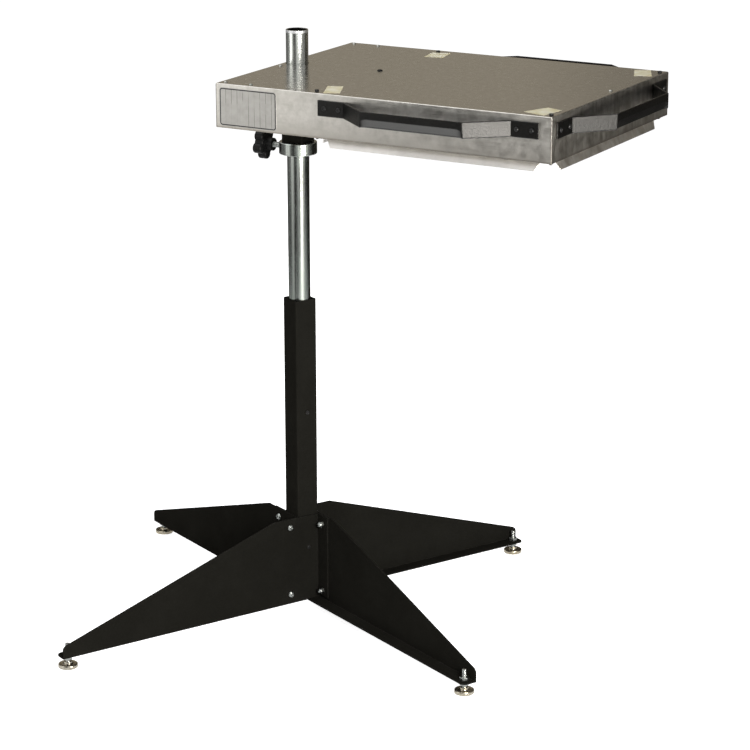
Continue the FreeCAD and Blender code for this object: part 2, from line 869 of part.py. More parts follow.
# Bottom panel, with the sleeve's notch and the heater's opening
panel = keep(new_body("bottom_panel"))
panel_outline = new_sketch(panel, "XY_Plane", head_bottom)
draw_rectangle(panel_outline, inner_left, inner_right, -inner_half, inner_half)
panel_sheet = pad(panel, panel_outline, s.head_sheet)
soften(panel, panel_sheet, "Fillet", s.head_round, lambda edge: runs_along(edge, upright))
panel_holes = new_sketch(panel, "XY_Plane", panel_top)
draw_rectangle(panel_holes, 2 * inner_left, half_tube, -half_tube, half_tube)
skirt_opening = octagon(s.skirt_fold + s.skirt_gap, skirt_half + s.skirt_gap)
draw_outline(panel_holes, [(heater_x + x, y) for x, y in skirt_opening])
for i, k in hanger_spots:
    draw_circle(panel_holes, heater_x + i * hanger_half, k * hanger_half, hanger_hole)
pocket(panel, panel_holes)

# Heater skirt: a flat rim on the panel and four flared lips with mitred ends
skirt = keep(new_body("heater_skirt", x=heater_x))
skirt_low = head_bottom - s.skirt_drop
lip_top = new_sketch(skirt, "XY_Plane", rim_top)
draw_rectangle(lip_top, -skirt_half, skirt_half, -s.skirt_fold, s.head_sheet - s.skirt_fold)
lip_low = new_sketch(skirt, "XY_Plane", skirt_low)
low_half = skirt_half - s.skirt_mitre
low_edge = -(s.skirt_fold + s.skirt_flare)
draw_rectangle(lip_low, -low_half, low_half, low_edge, low_edge + s.head_sheet)
lip = skirt.newObject("PartDesign::AdditiveLoft", "lip")
lip.Profile = lip_top
lip.Sections = [lip_low]
lip.Ruled = True
doc.recompute()
pattern(skirt, lip, 4)
rim = new_sketch(skirt, "XY_Plane", panel_top)
draw_rectangle(rim, -cover_half, cover_half, -cover_half, cover_half)
draw_outline(rim, octagon(s.skirt_fold - s.head_sheet, skirt_half - s.head_sheet))
for i, k in hanger_spots:
    draw_circle(rim, i * hanger_half, k * hanger_half, hanger_hole)
pad(skirt, rim, s.head_sheet)


# Square slab with notched corners that leave room for the hanger bolts
def notched_slab(label, bottom, thickness):
    body = keep(new_body(label, x=heater_x))
    outline = new_sketch(body, "XY_Plane", bottom)
    inset = hanger_half - s.hanger_diameter / 2 - s.hanger_room
    points = []
    for i, k in ((1, -1), (1, 1), (-1, 1), (-1, -1)):
        steps = [(i * inset, k * cover_inside), (i * inset, k * inset), (i * cover_inside, k * inset)]
        points.extend(steps if i * k < 0 else steps[::-1])
    draw_outline(outline, points)
    pad(body, outline, thickness)
    return body


notched_slab("emitter_plate", rim_top, s.emitter_thickness)
notched_slab("insulation_board", element_top, s.insulation_thickness)


# Heating element: one flat ribbon that runs to and fro, with two tails at the post end
def ribbon(x0, x1, y0, y1):
    width = s.element_width.number
    corner = Vector(min(x0, x1) - width / 2, min(y0, y1) - width / 2, 0)
    return Part.makeBox(abs(x1 - x0) + width, abs(y1 - y0) + width, s.element_thickness.number, corner)


def heating_ribbon():
    half = (s.skirt_fold - s.element_inset).number
    width = s.element_width.number
    passes = int(s.element_passes.number)
    tail = s.element_tail.number
    wall = cover_inside.number
    lane = half + 2 * width
    levels = [-half + 2 * half * k / (passes - 1) for k in range(passes)]
    runs = []
    for k, level in enumerate(levels):
        runs.append(ribbon(-half, half, level, level))
        if k + 1 < passes:
            side = half if k % 2 == 0 else -half
            runs.append(ribbon(side, side, level, levels[k + 1]))
    for side in (-1, 1):
        runs.append(ribbon(-lane, -half, side * half, side * half))
        runs.append(ribbon(-lane, -lane, side * tail, side * half))
        runs.append(ribbon(width / 2 - wall, -lane, side * tail, side * tail))
    return runs[0].multiFuse(runs[1:]).removeSplitter()


element = keep(doc.addObject("Part::Feature", "heating_element"))
element.Shape = heating_ribbon()
element.Placement = at(heater_x, 0, emitter_top)

# Heater cover: an inverted pan over the insulation, standing on the skirt's rim
cover = keep(new_body("heater_cover", x=heater_x))
cover_outline = new_sketch(cover, "XY_Plane", rim_top)
draw_rectangle(cover_outline, -cover_half, cover_half, -cover_half, cover_half)
pad(cover, cover_outline, cover_top - rim_top)
cover_hollow = new_sketch(cover, "XY_Plane", rim_top)
draw_rectangle(cover_hollow, -cover_inside, cover_inside, -cover_inside, cover_inside)
pocket(cover, cover_hollow, insulation_top - rim_top, reverse=True)
cover_holes = new_sketch(cover, "XY_Plane", cover_top)
for i, k in hanger_spots:
    draw_circle(cover_holes, i * hanger_half, k * hanger_half, hanger_hole)
pocket(cover, cover_holes)
lead_z = emitter_top + s.element_thickness / 2
bushing_hole = new_sketch(cover, "YZ_Plane")
for side in (-1, 1):
    draw_circle(bushing_hole, side * s.element_tail, lead_z, s.lead_bushing)
pocket(cover, bushing_hole)

# Hanger bolts through the whole head, with nuts under the panel
hanger = new_body("hanger_seed")
hanger_head = new_sketch(hanger, "XY_Plane", head_top)
draw_outline(hanger_head, hexagon(s.hanger_flats))
pad(hanger, hanger_head, s.hanger_head)
hanger_shank = new_sketch(hanger, "XY_Plane", head_top)
draw_circle(hanger_shank, 0, 0, s.hanger_diameter)
hanger_low = head_bottom - s.hanger_nut - s.hanger_end
pad(hanger, hanger_shank, head_top - hanger_low, reverse=True)
hanger_nut = hexagon_nut(
    "hanger_nut_seed", s.hanger_flats, s.hanger_nut, s.hanger_diameter + 2 * s.thread_gap,
)
hanger_columns = [(heater_x + i * hanger_half, k * hanger_half) for i, k in hanger_spots]
nut_low = head_bottom - s.hanger_nut
keep(group("hanger_bolts", hanger, [at(x, y, 0) for x, y in hanger_columns]))
keep(group("hanger_nuts", hanger_nut, [at(x, y, nut_low) for x, y in hanger_columns]))

# Small screws and the plug of the top
cover_screw = button_bolt(
    "cover_screw_seed", s.cover_screw, s.cover_screw_head, s.cover_screw_rise, None, s.cover_screw_grip,
)
screw_spots = channel_screws + [end_screw]
keep(group("cover_screws", cover_screw, [at(x, y, head_top) for x, y in screw_spots]))

plug = keep(new_body("top_plug", x=plug_x))
plug_section = new_sketch(plug, "XZ_Plane")
plug_stem = s.plug_hole / 2 - s.thread_gap
draw_outline(plug_section, [
    (0, inner_top - s.plug_rise),
    (plug_stem, inner_top - s.plug_rise),
    (plug_stem, head_top),
    (s.plug_dome / 2, head_top),
    (s.plug_dome * 0.44, head_top + s.plug_rise * 0.5),
    (s.plug_dome * 0.26, head_top + s.plug_rise * 0.9),
    (0, head_top + s.plug_rise),
])
revolve(plug, plug_section)

# Angle bracket under the top, held by the end screw
bracket = keep(new_body("end_bracket"))
bracket_section = new_sketch(bracket, "XZ_Plane", -s.end_screw_shift)
bracket_right = inner_right - s.channel_gap
bracket_left = bracket_right - s.bracket_leg
bracket_low = cover_top
draw_outline(bracket_section, [
    (bracket_right, inner_top),
    (bracket_left, inner_top),
    (bracket_left, bracket_low),
    (bracket_left + s.bracket_sheet, bracket_low),
    (bracket_left + s.bracket_sheet, inner_top - s.bracket_sheet),
    (bracket_right, inner_top - s.bracket_sheet),
])
pad(bracket, bracket_section, s.bracket_width, both=True)
bracket_hole = new_sketch(bracket, "XY_Plane", inner_top)
draw_circle(bracket_hole, *end_screw, cover_hole)
pocket(bracket, bracket_hole)


# Handle: flat bar bent into two tabs, two sloping arms and a grip whose lower half leans in
def make_handle(label, turn, x, y, middle_height, run):
    body = keep(new_body(label, (upright, turn), x=x, y=y))
    half, tab_in, grip, screws = run
    low = middle_height - s.handle_height / 2
    corner = s.handle_sheet * (s.handle_slope / 2).tangent()
    front = -s.handle_depth
    back = front + s.handle_sheet
    right_front = [(grip, front), (tab_in, -s.handle_sheet), (half, -s.handle_sheet)]
    right_back = [(half, 0), (tab_in - corner, 0), (grip - corner, back)]
    right = right_front + right_back
    bar = new_sketch(body, "XY_Plane", low)
    draw_outline(bar, right + [(-across, along) for across, along in reversed(right)])
    pad(body, bar, s.handle_height)
    lean = s.grip_tuck
    lean_length = 2 * (grip - corner - s.grip_tuck_end)
    rear = new_sketch(body, "YZ_Plane")
    draw_outline(rear, [(back, middle_height), (back, low), (back + lean, low)])
    pad(body, rear, lean_length, both=True)
    face = new_sketch(body, "YZ_Plane")
    draw_outline(face, [(front, middle_height), (front, low), (front + lean, low)])
    pocket(body, face, lean_length, both=True)
    holes = new_sketch(body, "XZ_Plane")
    for offset in screws:
        draw_circle(holes, offset, middle_height, handle_hole)
    pocket(body, holes, s.handle_sheet * 2, both=True)


make_handle("front_handle", 0, heater_x, -head_half, handle_middle, side_run)
make_handle("end_handle", 90, head_right, 0, handle_middle, end_run)
make_handle("back_handle", 180, heater_x, head_half, back_handle_middle, side_run)
handle_screw = button_bolt(
    "handle_screw_seed", s.screw_diameter, s.screw_head, s.screw_head_height, s.screw_socket,
    s.handle_sheet + s.head_sheet,
)
handle_places = []
tab_front = head_half + s.handle_sheet
tab_end = head_right + s.handle_sheet
for offset in side_screws:
    handle_places.append(at(heater_x + offset, -tab_front, handle_middle, z_to_minus_y))
    handle_places.append(at(heater_x + offset, tab_front, back_handle_middle, z_to_plus_y))
for offset in end_screws:
    handle_places.append(at(tab_end, offset, handle_middle, z_to_plus_x))
keep(group("handle_screws", handle_screw, handle_places))

# Screws that hold the sleeve to the left wall
sleeve_screw = button_bolt(
    "sleeve_screw_seed", s.sleeve_screw, s.sleeve_screw_head, s.sleeve_screw_rise, None,
    s.head_sheet + s.tube_wall,
)
sleeve_places = [at(head_left, 0, height, z_to_minus_x) for height in sleeve_screw_heights]
keep(group("sleeve_screws", sleeve_screw, sleeve_places))

# Cord gland in the left wall and its lock nut inside
gland = keep(new_body("cord_gland", (Vector(0, 1, 0), -90), x=head_left, y=s.gland_side, z=gland_z))
gland_thread = new_sketch(gland, "XY_Plane")
draw_circle(gland_thread, 0, 0, s.gland_thread)
pad(gland, gland_thread, s.head_sheet + s.gland_nut + s.gland_cap_edge, reverse=True)
gland_hexagon = new_sketch(gland, "XY_Plane")
draw_outline(gland_hexagon, hexagon(s.gland_flats))
pad(gland, gland_hexagon, s.gland_collar)
gland_cap = new_sketch(gland, "XZ_Plane")
cap_low = s.gland_collar
cap_top = s.gland_collar + s.gland_cap_length
draw_outline(gland_cap, [
    (0, cap_low),
    (s.gland_cap / 2, cap_low),
    (s.gland_cap / 2, cap_low + s.gland_cap_length * 0.6),
    (s.gland_cap * 0.4, cap_top - s.gland_cap_edge),
    (s.gland_cap * 0.34, cap_top),
    (0, cap_top),
])
revolve(gland, gland_cap)
gland_bore = new_sketch(gland, "XY_Plane", cap_top)
draw_circle(gland_bore, 0, 0, s.gland_bore)
pocket(gland, gland_bore)
gland_nut = keep(new_body("gland_nut", (Vector(0, 1, 0), 90), x=inner_left, y=s.gland_side, z=gland_z))
gland_nut_outline = new_sketch(gland_nut, "XY_Plane")
draw_outline(gland_nut_outline, hexagon(s.gland_flats))
draw_circle(gland_nut_outline, 0, 0, s.gland_thread + 2 * s.thread_gap)
pad(gland_nut, gland_nut_outline, s.gland_nut)

# Terminal block on the panel, leads to the element and their bushings
block_right = heater_left - s.terminal_from_heater
block = keep(new_body("terminal_block"))
block_outline = new_sketch(block, "XY_Plane", panel_top)
block_half = s.terminal_length / 2
draw_rectangle(block_outline, block_right - s.terminal_depth, block_right, -block_half, block_half)
pad(block, block_outline, s.terminal_height)
pockets = new_sketch(block, "XY_Plane", panel_top + s.terminal_height)
for step in (-1, 0, 1):
    for depth in (0.28, 0.72):
        pocket_x = block_right - s.terminal_depth * depth
        draw_circle(pockets, pocket_x, step * s.terminal_length * 0.3, s.terminal_pocket)
pocket(block, pockets, s.terminal_height / 2)

lead = new_body("lead_seed", (Vector(0, 1, 0), 90))
lead_round = new_sketch(lead, "XY_Plane")
draw_circle(lead_round, 0, 0, s.element_thickness)
pad(lead, lead_round, s.terminal_from_heater + s.head_sheet)
bushing = new_body("bushing_seed", (Vector(0, 1, 0), 90))
bushing_ring = new_sketch(bushing, "XY_Plane")
draw_circle(bushing_ring, 0, 0, s.lead_bushing)
draw_circle(bushing_ring, 0, 0, s.element_thickness)
pad(bushing, bushing_ring, s.lead_bushing_length)
bushing_x = heater_left + s.head_sheet - s.lead_bushing_length
tails = (-s.element_tail, s.element_tail)
keep(group("heater_leads", lead, [at(block_right, side, lead_z) for side in tails]))
keep(group("lead_bushings", bushing, [at(bushing_x, side, lead_z) for side in tails]))

# Check every object, then write one file for each piece
doc.recompute()
for item in doc.Objects:
    if "Invalid" in item.State or "Error" in item.State:
        raise RuntimeError(f"{item.Label} is {item.State}")
for piece in pieces:
    if piece.Shape.isNull() or not piece.Shape.isValid():
        raise RuntimeError(f"{piece.Label} has no valid shape")
os.makedirs("parts", exist_ok=True)
for piece in pieces:
    piece.Shape.exportStep(f"parts/{piece.Label}.step")
print(f"{len(pieces)} pieces written")
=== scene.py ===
import json
import math
import bmesh
import bpy
import numpy as np
from mathutils import Matrix, Vector


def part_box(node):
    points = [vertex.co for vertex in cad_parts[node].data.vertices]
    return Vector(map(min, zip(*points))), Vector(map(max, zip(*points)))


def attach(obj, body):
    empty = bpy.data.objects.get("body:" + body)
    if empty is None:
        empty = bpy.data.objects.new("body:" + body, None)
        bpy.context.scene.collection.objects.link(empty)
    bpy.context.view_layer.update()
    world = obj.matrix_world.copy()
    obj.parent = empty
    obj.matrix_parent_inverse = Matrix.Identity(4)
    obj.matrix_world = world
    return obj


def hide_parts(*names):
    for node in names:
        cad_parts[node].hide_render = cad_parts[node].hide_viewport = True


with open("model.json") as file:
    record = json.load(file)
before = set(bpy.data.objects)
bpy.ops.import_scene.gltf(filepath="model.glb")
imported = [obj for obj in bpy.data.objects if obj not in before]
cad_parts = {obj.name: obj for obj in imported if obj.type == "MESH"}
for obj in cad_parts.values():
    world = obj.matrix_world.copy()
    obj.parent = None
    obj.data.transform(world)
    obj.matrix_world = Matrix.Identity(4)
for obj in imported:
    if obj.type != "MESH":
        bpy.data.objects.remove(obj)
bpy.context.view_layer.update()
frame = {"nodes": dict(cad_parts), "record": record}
nodes = frame["nodes"]
print("frame loaded:", len(nodes), "nodes")

midSpan = (0.3, 0.7)  # the part of a noise's range that most of it falls in


# small helpers for node trees
def addNode(tree, kind, **values):
    node = tree.nodes.new(kind)
    for key, value in values.items():
        if hasattr(node, key):
            setattr(node, key, value)
        else:
            node.inputs[key.replace("_", " ")].default_value = value
    return node


def join(tree, source, target):
    tree.links.new(source, target)


def mathNode(tree, operation, first, second=None, clamp=False):
    node = addNode(tree, "ShaderNodeMath", operation=operation, use_clamp=clamp)
    for socket, value in zip(node.inputs, (first, second)):
        if isinstance(value, (int, float)):
            socket.default_value = value
        elif value is not None:
            join(tree, value, socket)
    return node.outputs[0]


def multiply(tree, first, second):
    return mathNode(tree, "MULTIPLY", first, second)


def remap(tree, value, low, high, start=0.0, end=1.0):
    node = addNode(tree, "ShaderNodeMapRange")
    names = ("From Min", "From Max", "To Min", "To Max")
    for name, number in zip(names, (low, high, start, end)):
        node.inputs[name].default_value = number
    join(tree, value, node.inputs["Value"])
    return node.outputs["Result"]


mixSockets = (0, 6, 7)  # share, first and second colour of a Mix node
mixResult = 2  # its colour output


def mixColour(tree, share, first, second):
    node = addNode(tree, "ShaderNodeMix", data_type="RGBA")
    for number, value in zip(mixSockets, (share, first, second)):
        socket = node.inputs[number]
        if isinstance(value, (int, float)):
            socket.default_value = value
        elif isinstance(value, (tuple, list)):
            socket.default_value = (*value, 1.0)
        else:
            join(tree, value, socket)
    return node.outputs[mixResult]


def objectPlace(tree, stretch=(1, 1, 1)):
    mapping = addNode(tree, "ShaderNodeMapping")
    mapping.inputs["Scale"].default_value = stretch
    join(tree, addNode(tree, "ShaderNodeTexCoord").outputs["Object"], mapping.inputs["Vector"])
    return mapping.outputs["Vector"]


def splitAxes(tree, vector):
    node = addNode(tree, "ShaderNodeSeparateXYZ")
    join(tree, vector, node.inputs[0])
    return node.outputs


def objectAxes(tree):
    return splitAxes(tree, addNode(tree, "ShaderNodeTexCoord").outputs["Object"])


def facingAxes(tree):
    return splitAxes(tree, addNode(tree, "ShaderNodeNewGeometry").outputs["Normal"])


def noise(tree, place, scale, detail=3.0, rough=0.55, spread=0.0):
    node = addNode(tree, "ShaderNodeTexNoise", Scale=scale, Detail=detail, Roughness=rough, Distortion=spread)
    join(tree, place, node.inputs["Vector"])
    return node.outputs["Fac"]


def newGroup(name, inputs, outputs):
    group = bpy.data.node_groups.new(name, "ShaderNodeTree")
    for label, kind, value in inputs:
        socket = group.interface.new_socket(label, in_out="INPUT", socket_type=kind)
        if value is not None:
            socket.default_value = value
    for label, kind in outputs:
        group.interface.new_socket(label, in_out="OUTPUT", socket_type=kind)
    return group, group.nodes.new("NodeGroupInput"), group.nodes.new("NodeGroupOutput")


number, arrow = "NodeSocketFloat", "NodeSocketVector"

# worn edges: where the rounded normal leaves the true one, broken up by a coarse noise
wornLook = {"radius": 0.002, "reach": 0.25, "breakup": 60.0, "samples": 6, "detail": 4.0, "span": (0.38, 0.62)}


def makeWornEdges():
    look = wornLook
    group, start, end = newGroup(
        "wornEdges",
        (
            ("Radius", number, look["radius"]), ("Reach", number, look["reach"]),
            ("Breakup", number, look["breakup"]),
        ),
        (("Mask", number), ("Normal", arrow)),
    )
    bevel = addNode(group, "ShaderNodeBevel", samples=look["samples"])
    join(group, start.outputs["Radius"], bevel.inputs["Radius"])
    dot = addNode(group, "ShaderNodeVectorMath", operation="DOT_PRODUCT")
    join(group, bevel.outputs["Normal"], dot.inputs[0])
    join(group, addNode(group, "ShaderNodeNewGeometry").outputs["Normal"], dot.inputs[1])
    turned = mathNode(group, "SUBTRACT", 1.0, dot.outputs["Value"])
    sharp = mathNode(group, "DIVIDE", turned, start.outputs["Reach"], clamp=True)
    chips = addNode(group, "ShaderNodeTexNoise", Detail=look["detail"])
    join(group, addNode(group, "ShaderNodeTexCoord").outputs["Object"], chips.inputs["Vector"])
    join(group, start.outputs["Breakup"], chips.inputs["Scale"])
    broken = remap(group, chips.outputs["Fac"], *look["span"])
    join(group, multiply(group, sharp, broken), end.inputs["Mask"])
    join(group, bevel.outputs["Normal"], end.inputs["Normal"])
    return group


# rolled sheet: long fine scratches along one direction, soft cloudy patches and specks
grainLook = {
    "scratch": 260.0, "cloud": 7.0, "rough": 0.6,
    "layers": (  # output, size that drives it, detail, stretch
        ("Scratches", "Scratch", 2.0, (0.03, 1, 1)),
        ("Clouds", "Cloud", 5.0, (1, 1, 1)),
        ("Specks", "Scratch", 3.0, (2, 2, 2)),
    ),
}


def makeRolledGrain():
    look = grainLook
    group, start, end = newGroup(
        "rolledGrain",
        (("Vector", arrow, None), ("Scratch", number, look["scratch"]), ("Cloud", number, look["cloud"])),
        [(layer[0], number) for layer in look["layers"]],
    )
    for label, size, detail, stretch in look["layers"]:
        mapping = addNode(group, "ShaderNodeMapping")
        mapping.inputs["Scale"].default_value = stretch
        join(group, start.outputs["Vector"], mapping.inputs["Vector"])
        texture = addNode(group, "ShaderNodeTexNoise", Detail=detail, Roughness=look["rough"])
        join(group, mapping.outputs["Vector"], texture.inputs["Vector"])
        join(group, start.outputs[size], texture.inputs["Scale"])
        join(group, texture.outputs["Fac"], end.inputs[label])
    return group


# textured paint: pimples of two sizes, and a few dusty patches
pimpleLook = {
    "fine": 900.0, "patch": 9.0, "coarseShare": 0.35, "smallShare": 0.5, "coarseDetail": 3.0,
    "patchDetail": 6.0, "patchRough": 0.65, "dustSpan": (0.42, 0.72), "glintSpan": (0.35, 0.68),
}


def makePaintPimples():
    look = pimpleLook
    group, start, end = newGroup(
        "paintPimples",
        (("Fine", number, look["fine"]), ("Patch", number, look["patch"])),
        (("Height", number), ("Dust", number), ("Glint", number)),
    )
    place = addNode(group, "ShaderNodeTexCoord").outputs["Object"]
    small = addNode(group, "ShaderNodeTexVoronoi", feature="SMOOTH_F1")
    coarse = addNode(group, "ShaderNodeTexNoise", Detail=look["coarseDetail"])
    patch = addNode(group, "ShaderNodeTexNoise", Detail=look["patchDetail"], Roughness=look["patchRough"])
    for texture, scale in (
        (small, start.outputs["Fine"]),
        (coarse, multiply(group, start.outputs["Fine"], look["coarseShare"])),
        (patch, start.outputs["Patch"]),
    ):
        join(group, place, texture.inputs["Vector"])
        join(group, scale, texture.inputs["Scale"])
    low = multiply(group, small.outputs["Distance"], look["smallShare"])
    join(group, mathNode(group, "ADD", low, coarse.outputs["Fac"]), end.inputs["Height"])
    join(group, remap(group, patch.outputs["Fac"], *look["dustSpan"]), end.inputs["Dust"])
    join(group, remap(group, coarse.outputs["Fac"], *look["glintSpan"]), end.inputs["Glint"])
    return group


wornEdges = makeWornEdges()
rolledGrain = makeRolledGrain()
paintPimples = makePaintPimples()


def useGroup(tree, group, **values):
    node = addNode(tree, "ShaderNodeGroup")
    node.node_tree = group
    for name, value in values.items():
        if hasattr(value, "is_output"):
            join(tree, value, node.inputs[name])
        else:
            node.inputs[name].default_value = value
    return node.outputs


def useWear(tree, look):
    return useGroup(tree, wornEdges, Radius=look["edge"], Reach=look["reach"], Breakup=look["breakup"])


def newFinish(name, **constants):
    material = bpy.data.materials.new(name)
    material.use_nodes = True
    tree = material.node_tree
    shader = tree.nodes["Principled BSDF"]
    for key, value in constants.items():
        shader.inputs[key.replace("_", " ")].default_value = value
    return material, tree, shader


def addBump(tree, shader, height, look, normal=None):
    bump = addNode(tree, "ShaderNodeBump", Strength=look["bump"], Distance=look["bumpDeep"])
    join(tree, height, bump.inputs["Height"])
    if normal is not None:
        join(tree, normal, bump.inputs["Normal"])
    join(tree, bump.outputs["Normal"], shader.inputs["Normal"])


# bare sheet metal: rolled grain, cloudy tone, brighter rubbed edges, runs down the end walls,
# darker towards the bottom of the walls, a painted shadow line at the foot of the walls, a polished top
sheetLook = {
    "dark": (0.38, 0.366, 0.338), "light": (0.55, 0.535, 0.503), "stainAndShade": (0.22, 0.20, 0.17),
    "rim": (0.72, 0.70, 0.66), "toneSpan": (0.32, 0.68),
    "scratch": 300.0, "cloud": 75.0, "streak": 0.35, "speck": 0.18, "speckSpan": (0.62, 0.75),
    "edge": 0.0012, "reach": 0.2, "breakup": 45.0,
    "rough": (0.34, 0.44), "roughSway": 0.04, "polish": 0.17, "upFacing": (0.8, 0.98),
    "bump": 0.006, "bumpDeep": 0.0006, "dent": 0.02,
    "drip": 0.5, "dripStretch": (1, 1, 0.2), "dripScale": 75.0, "dripSpan": (0.40, 0.62), "endFacing": (0.8, 0.95),
    # the first band darkens the walls towards their bottom; the second is a painted shadow line at their foot
    "lowDarkening": 0.4, "lowDarkeningFrom": (1.112, 1.150), "foot": 0.85, "footFrom": (1.1135, 1.1175),
    "patchySpan": (0.25, 0.6), "patchyShare": (0.5, 1.0),
}
# the skirts: a lighter copy of the housing sheet, the lighter tone a painted highlight for the light their up-turned
# faces catch
litSkirtLook = dict(
    sheetLook, dark=(0.74, 0.72, 0.69), light=(0.86, 0.84, 0.81), stainAndShade=(0.45, 0.40, 0.34), cloud=30.0,
    rough=(0.30, 0.42), polish=0.0, lowDarkening=0.0, foot=0.0,
)
seamLook = dict(
    sheetLook, dark=(0.20, 0.195, 0.18), light=(0.34, 0.33, 0.31), rim=(0.42, 0.41, 0.39),
    rough=(0.50, 0.62), edge=0.0002,
)


def makeMetal(name, look):
    material, tree, shader = newFinish(name, Metallic=1.0)
    grain = useGroup(tree, rolledGrain, Vector=objectPlace(tree), Scratch=look["scratch"], Cloud=look["cloud"])
    worn = useWear(tree, look)
    facing, level = facingAxes(tree), objectAxes(tree)["Z"]
    tone = mixColour(tree, remap(tree, grain["Clouds"], *look["toneSpan"]), look["dark"], look["light"])
    streak = remap(tree, grain["Scratches"], *midSpan, 0.0, look["streak"])
    speck = remap(tree, grain["Specks"], *look["speckSpan"], 0.0, look["speck"])
    runs = noise(tree, objectPlace(tree, look["dripStretch"]), look["dripScale"], detail=4.0, rough=0.6)
    onEnd = remap(tree, mathNode(tree, "ABSOLUTE", facing["X"]), *look["endFacing"], 0.0, look["drip"])
    drip = multiply(tree, remap(tree, runs, *look["dripSpan"]), onEnd)
    # darker towards the bottom of the walls
    lowDarkening = remap(tree, level, *look["lowDarkeningFrom"], look["lowDarkening"], 0.0)
    # painted shadow: a dark line at the foot of the walls, where they meet the skirt
    foot = remap(tree, level, *look["footFrom"], look["foot"], 0.0)
    patchy = remap(tree, grain["Clouds"], *look["patchySpan"], *look["patchyShare"])
    # the darkening and the painted shadow line take the stain colour, in patches
    darkeningAndShadow = multiply(tree, mathNode(tree, "MAXIMUM", lowDarkening, foot), patchy)
    rubbed = multiply(tree, worn["Mask"], remap(tree, level, *look["footFrom"]))
    for share, colour in (
        (streak, look["light"]), (speck, look["stainAndShade"]), (drip, look["stainAndShade"]), (darkeningAndShadow, look["stainAndShade"]),
        (rubbed, look["rim"]),
    ):
        tone = mixColour(tree, share, tone, colour)
    join(tree, tone, shader.inputs["Base Color"])
    cloudy = remap(tree, grain["Clouds"], *midSpan, *look["rough"])
    scratched = remap(tree, grain["Scratches"], *midSpan, -look["roughSway"], look["roughSway"])
    polish = remap(tree, facing["Z"], *look["upFacing"], 0.0, look["polish"])
    rough = mathNode(tree, "SUBTRACT", mathNode(tree, "ADD", cloudy, scratched), polish)
    join(tree, rough, shader.inputs["Roughness"])
    dents = multiply(tree, grain["Clouds"], look["dent"])
    addBump(tree, shader, mathNode(tree, "ADD", grain["Scratches"], dents), look, worn["Normal"])
    return material


# textured coating: pimpled, dusty in patches, rubbed lighter on a few edges, with a painted sheen on faces turned
# down and to the front
paintLook = {
    "base": (0.0095, 0.0090, 0.0072), "dustColour": (0.0150, 0.0143, 0.0118), "dust": 0.6,
    "rim": (0.05, 0.048, 0.045), "gloss": 0.0, "fine": 900.0, "patch": 8.0,
    "edge": 0.0016, "reach": 0.22, "breakup": 40.0, "wear": 0.35, "glint": 0.05,
    "rough": (0.34, 0.48), "bump": 0.22, "bumpDeep": 0.0005,
}
handleLook = dict(
    paintLook, base=(0.0020, 0.0019, 0.0016), dustColour=(0.005, 0.0048, 0.004), fine=620.0, gloss=0.19,
    rough=(0.36, 0.44), bump=0.7, glint=0.03,
    # painted sheen: a lighter colour on faces turned down and to the front
    paintedSheen=(0.066, 0.066, 0.064), sheenBelow=(-0.15, -0.40), sheenFront=(-0.3, -0.7),
)
darkLook = dict(
    paintLook, base=(0.008, 0.008, 0.008), fine=1600.0, gloss=0.2, rough=(0.28, 0.40), wear=0.5,
    rim=(0.05, 0.05, 0.05), bump=0.08,
)


def makePaint(name, look):
    material, tree, shader = newFinish(name, Specular_IOR_Level=look["gloss"])
    skin = useGroup(tree, paintPimples, Fine=look["fine"], Patch=look["patch"])
    worn = useWear(tree, look)
    coat = look["base"]
    for mask, share, colour in (
        (skin["Dust"], look["dust"], look["dustColour"]), (skin["Glint"], look["glint"], look["rim"]),
        (worn["Mask"], look["wear"], look["rim"]),
    ):
        coat = mixColour(tree, multiply(tree, mask, share), coat, colour)
    # painted sheen: lighter where the face turns down and to the front, standing for a reflection of the white floor
    if "paintedSheen" in look:
        facing = splitAxes(tree, worn["Normal"])
        below = remap(tree, facing["Z"], *look["sheenBelow"])
        sheenFacing = multiply(tree, below, remap(tree, facing["Y"], *look["sheenFront"]))
        coat = mixColour(tree, sheenFacing, coat, look["paintedSheen"])
    join(tree, coat, shader.inputs["Base Color"])
    join(tree, remap(tree, skin["Dust"], 0.0, 1.0, *look["rough"]), shader.inputs["Roughness"])
    addBump(tree, shader, skin["Height"], look, worn["Normal"])
    return material


# drawn or plated bar: streaks along Z, passivation tint in clouds
zincLook = {
    "dark": (0.21, 0.22, 0.21), "light": (0.49, 0.51, 0.49), "tint": (0.23, 0.275, 0.24), "rim": (0.80, 0.81, 0.79),
    "tintShare": 0.7, "tintSpan": (0.35, 0.7), "along": (1, 1, 0.012), "streakScale": 260.0, "cloud": 12.0,
    "fine": 700.0, "edge": 0.001, "reach": 0.2, "breakup": 90.0, "rough": (0.17, 0.27), "roughSway": 0.05,
    "bump": 0.06, "bumpDeep": 0.0004,
}
# the post is painted lighter above the head, a painted highlight, and painted dark inside, a painted shade
postLook = dict(
    zincLook, hollowShade=(0.10, 0.10, 0.097), litTone=(0.86, 0.875, 0.86), litFrom=(1.19, 1.205), litShare=0.42,
)
turnedLook = dict(zincLook, along=(1, 1, 1))
fastenerLook = dict(
    turnedLook, dark=(0.26, 0.27, 0.265), light=(0.46, 0.475, 0.465), rim=(0.52, 0.53, 0.52), tintShare=0.35,
    rough=(0.22, 0.34),
)
screwLook = dict(fastenerLook, dark=(0.30, 0.29, 0.27), light=(0.48, 0.47, 0.44), rim=(0.5, 0.49, 0.46))
padLook = dict(
    turnedLook, dark=(0.34, 0.31, 0.25), light=(0.56, 0.53, 0.46), tint=(0.46, 0.39, 0.25),
    rim=(0.62, 0.58, 0.50), rough=(0.18, 0.30),
)
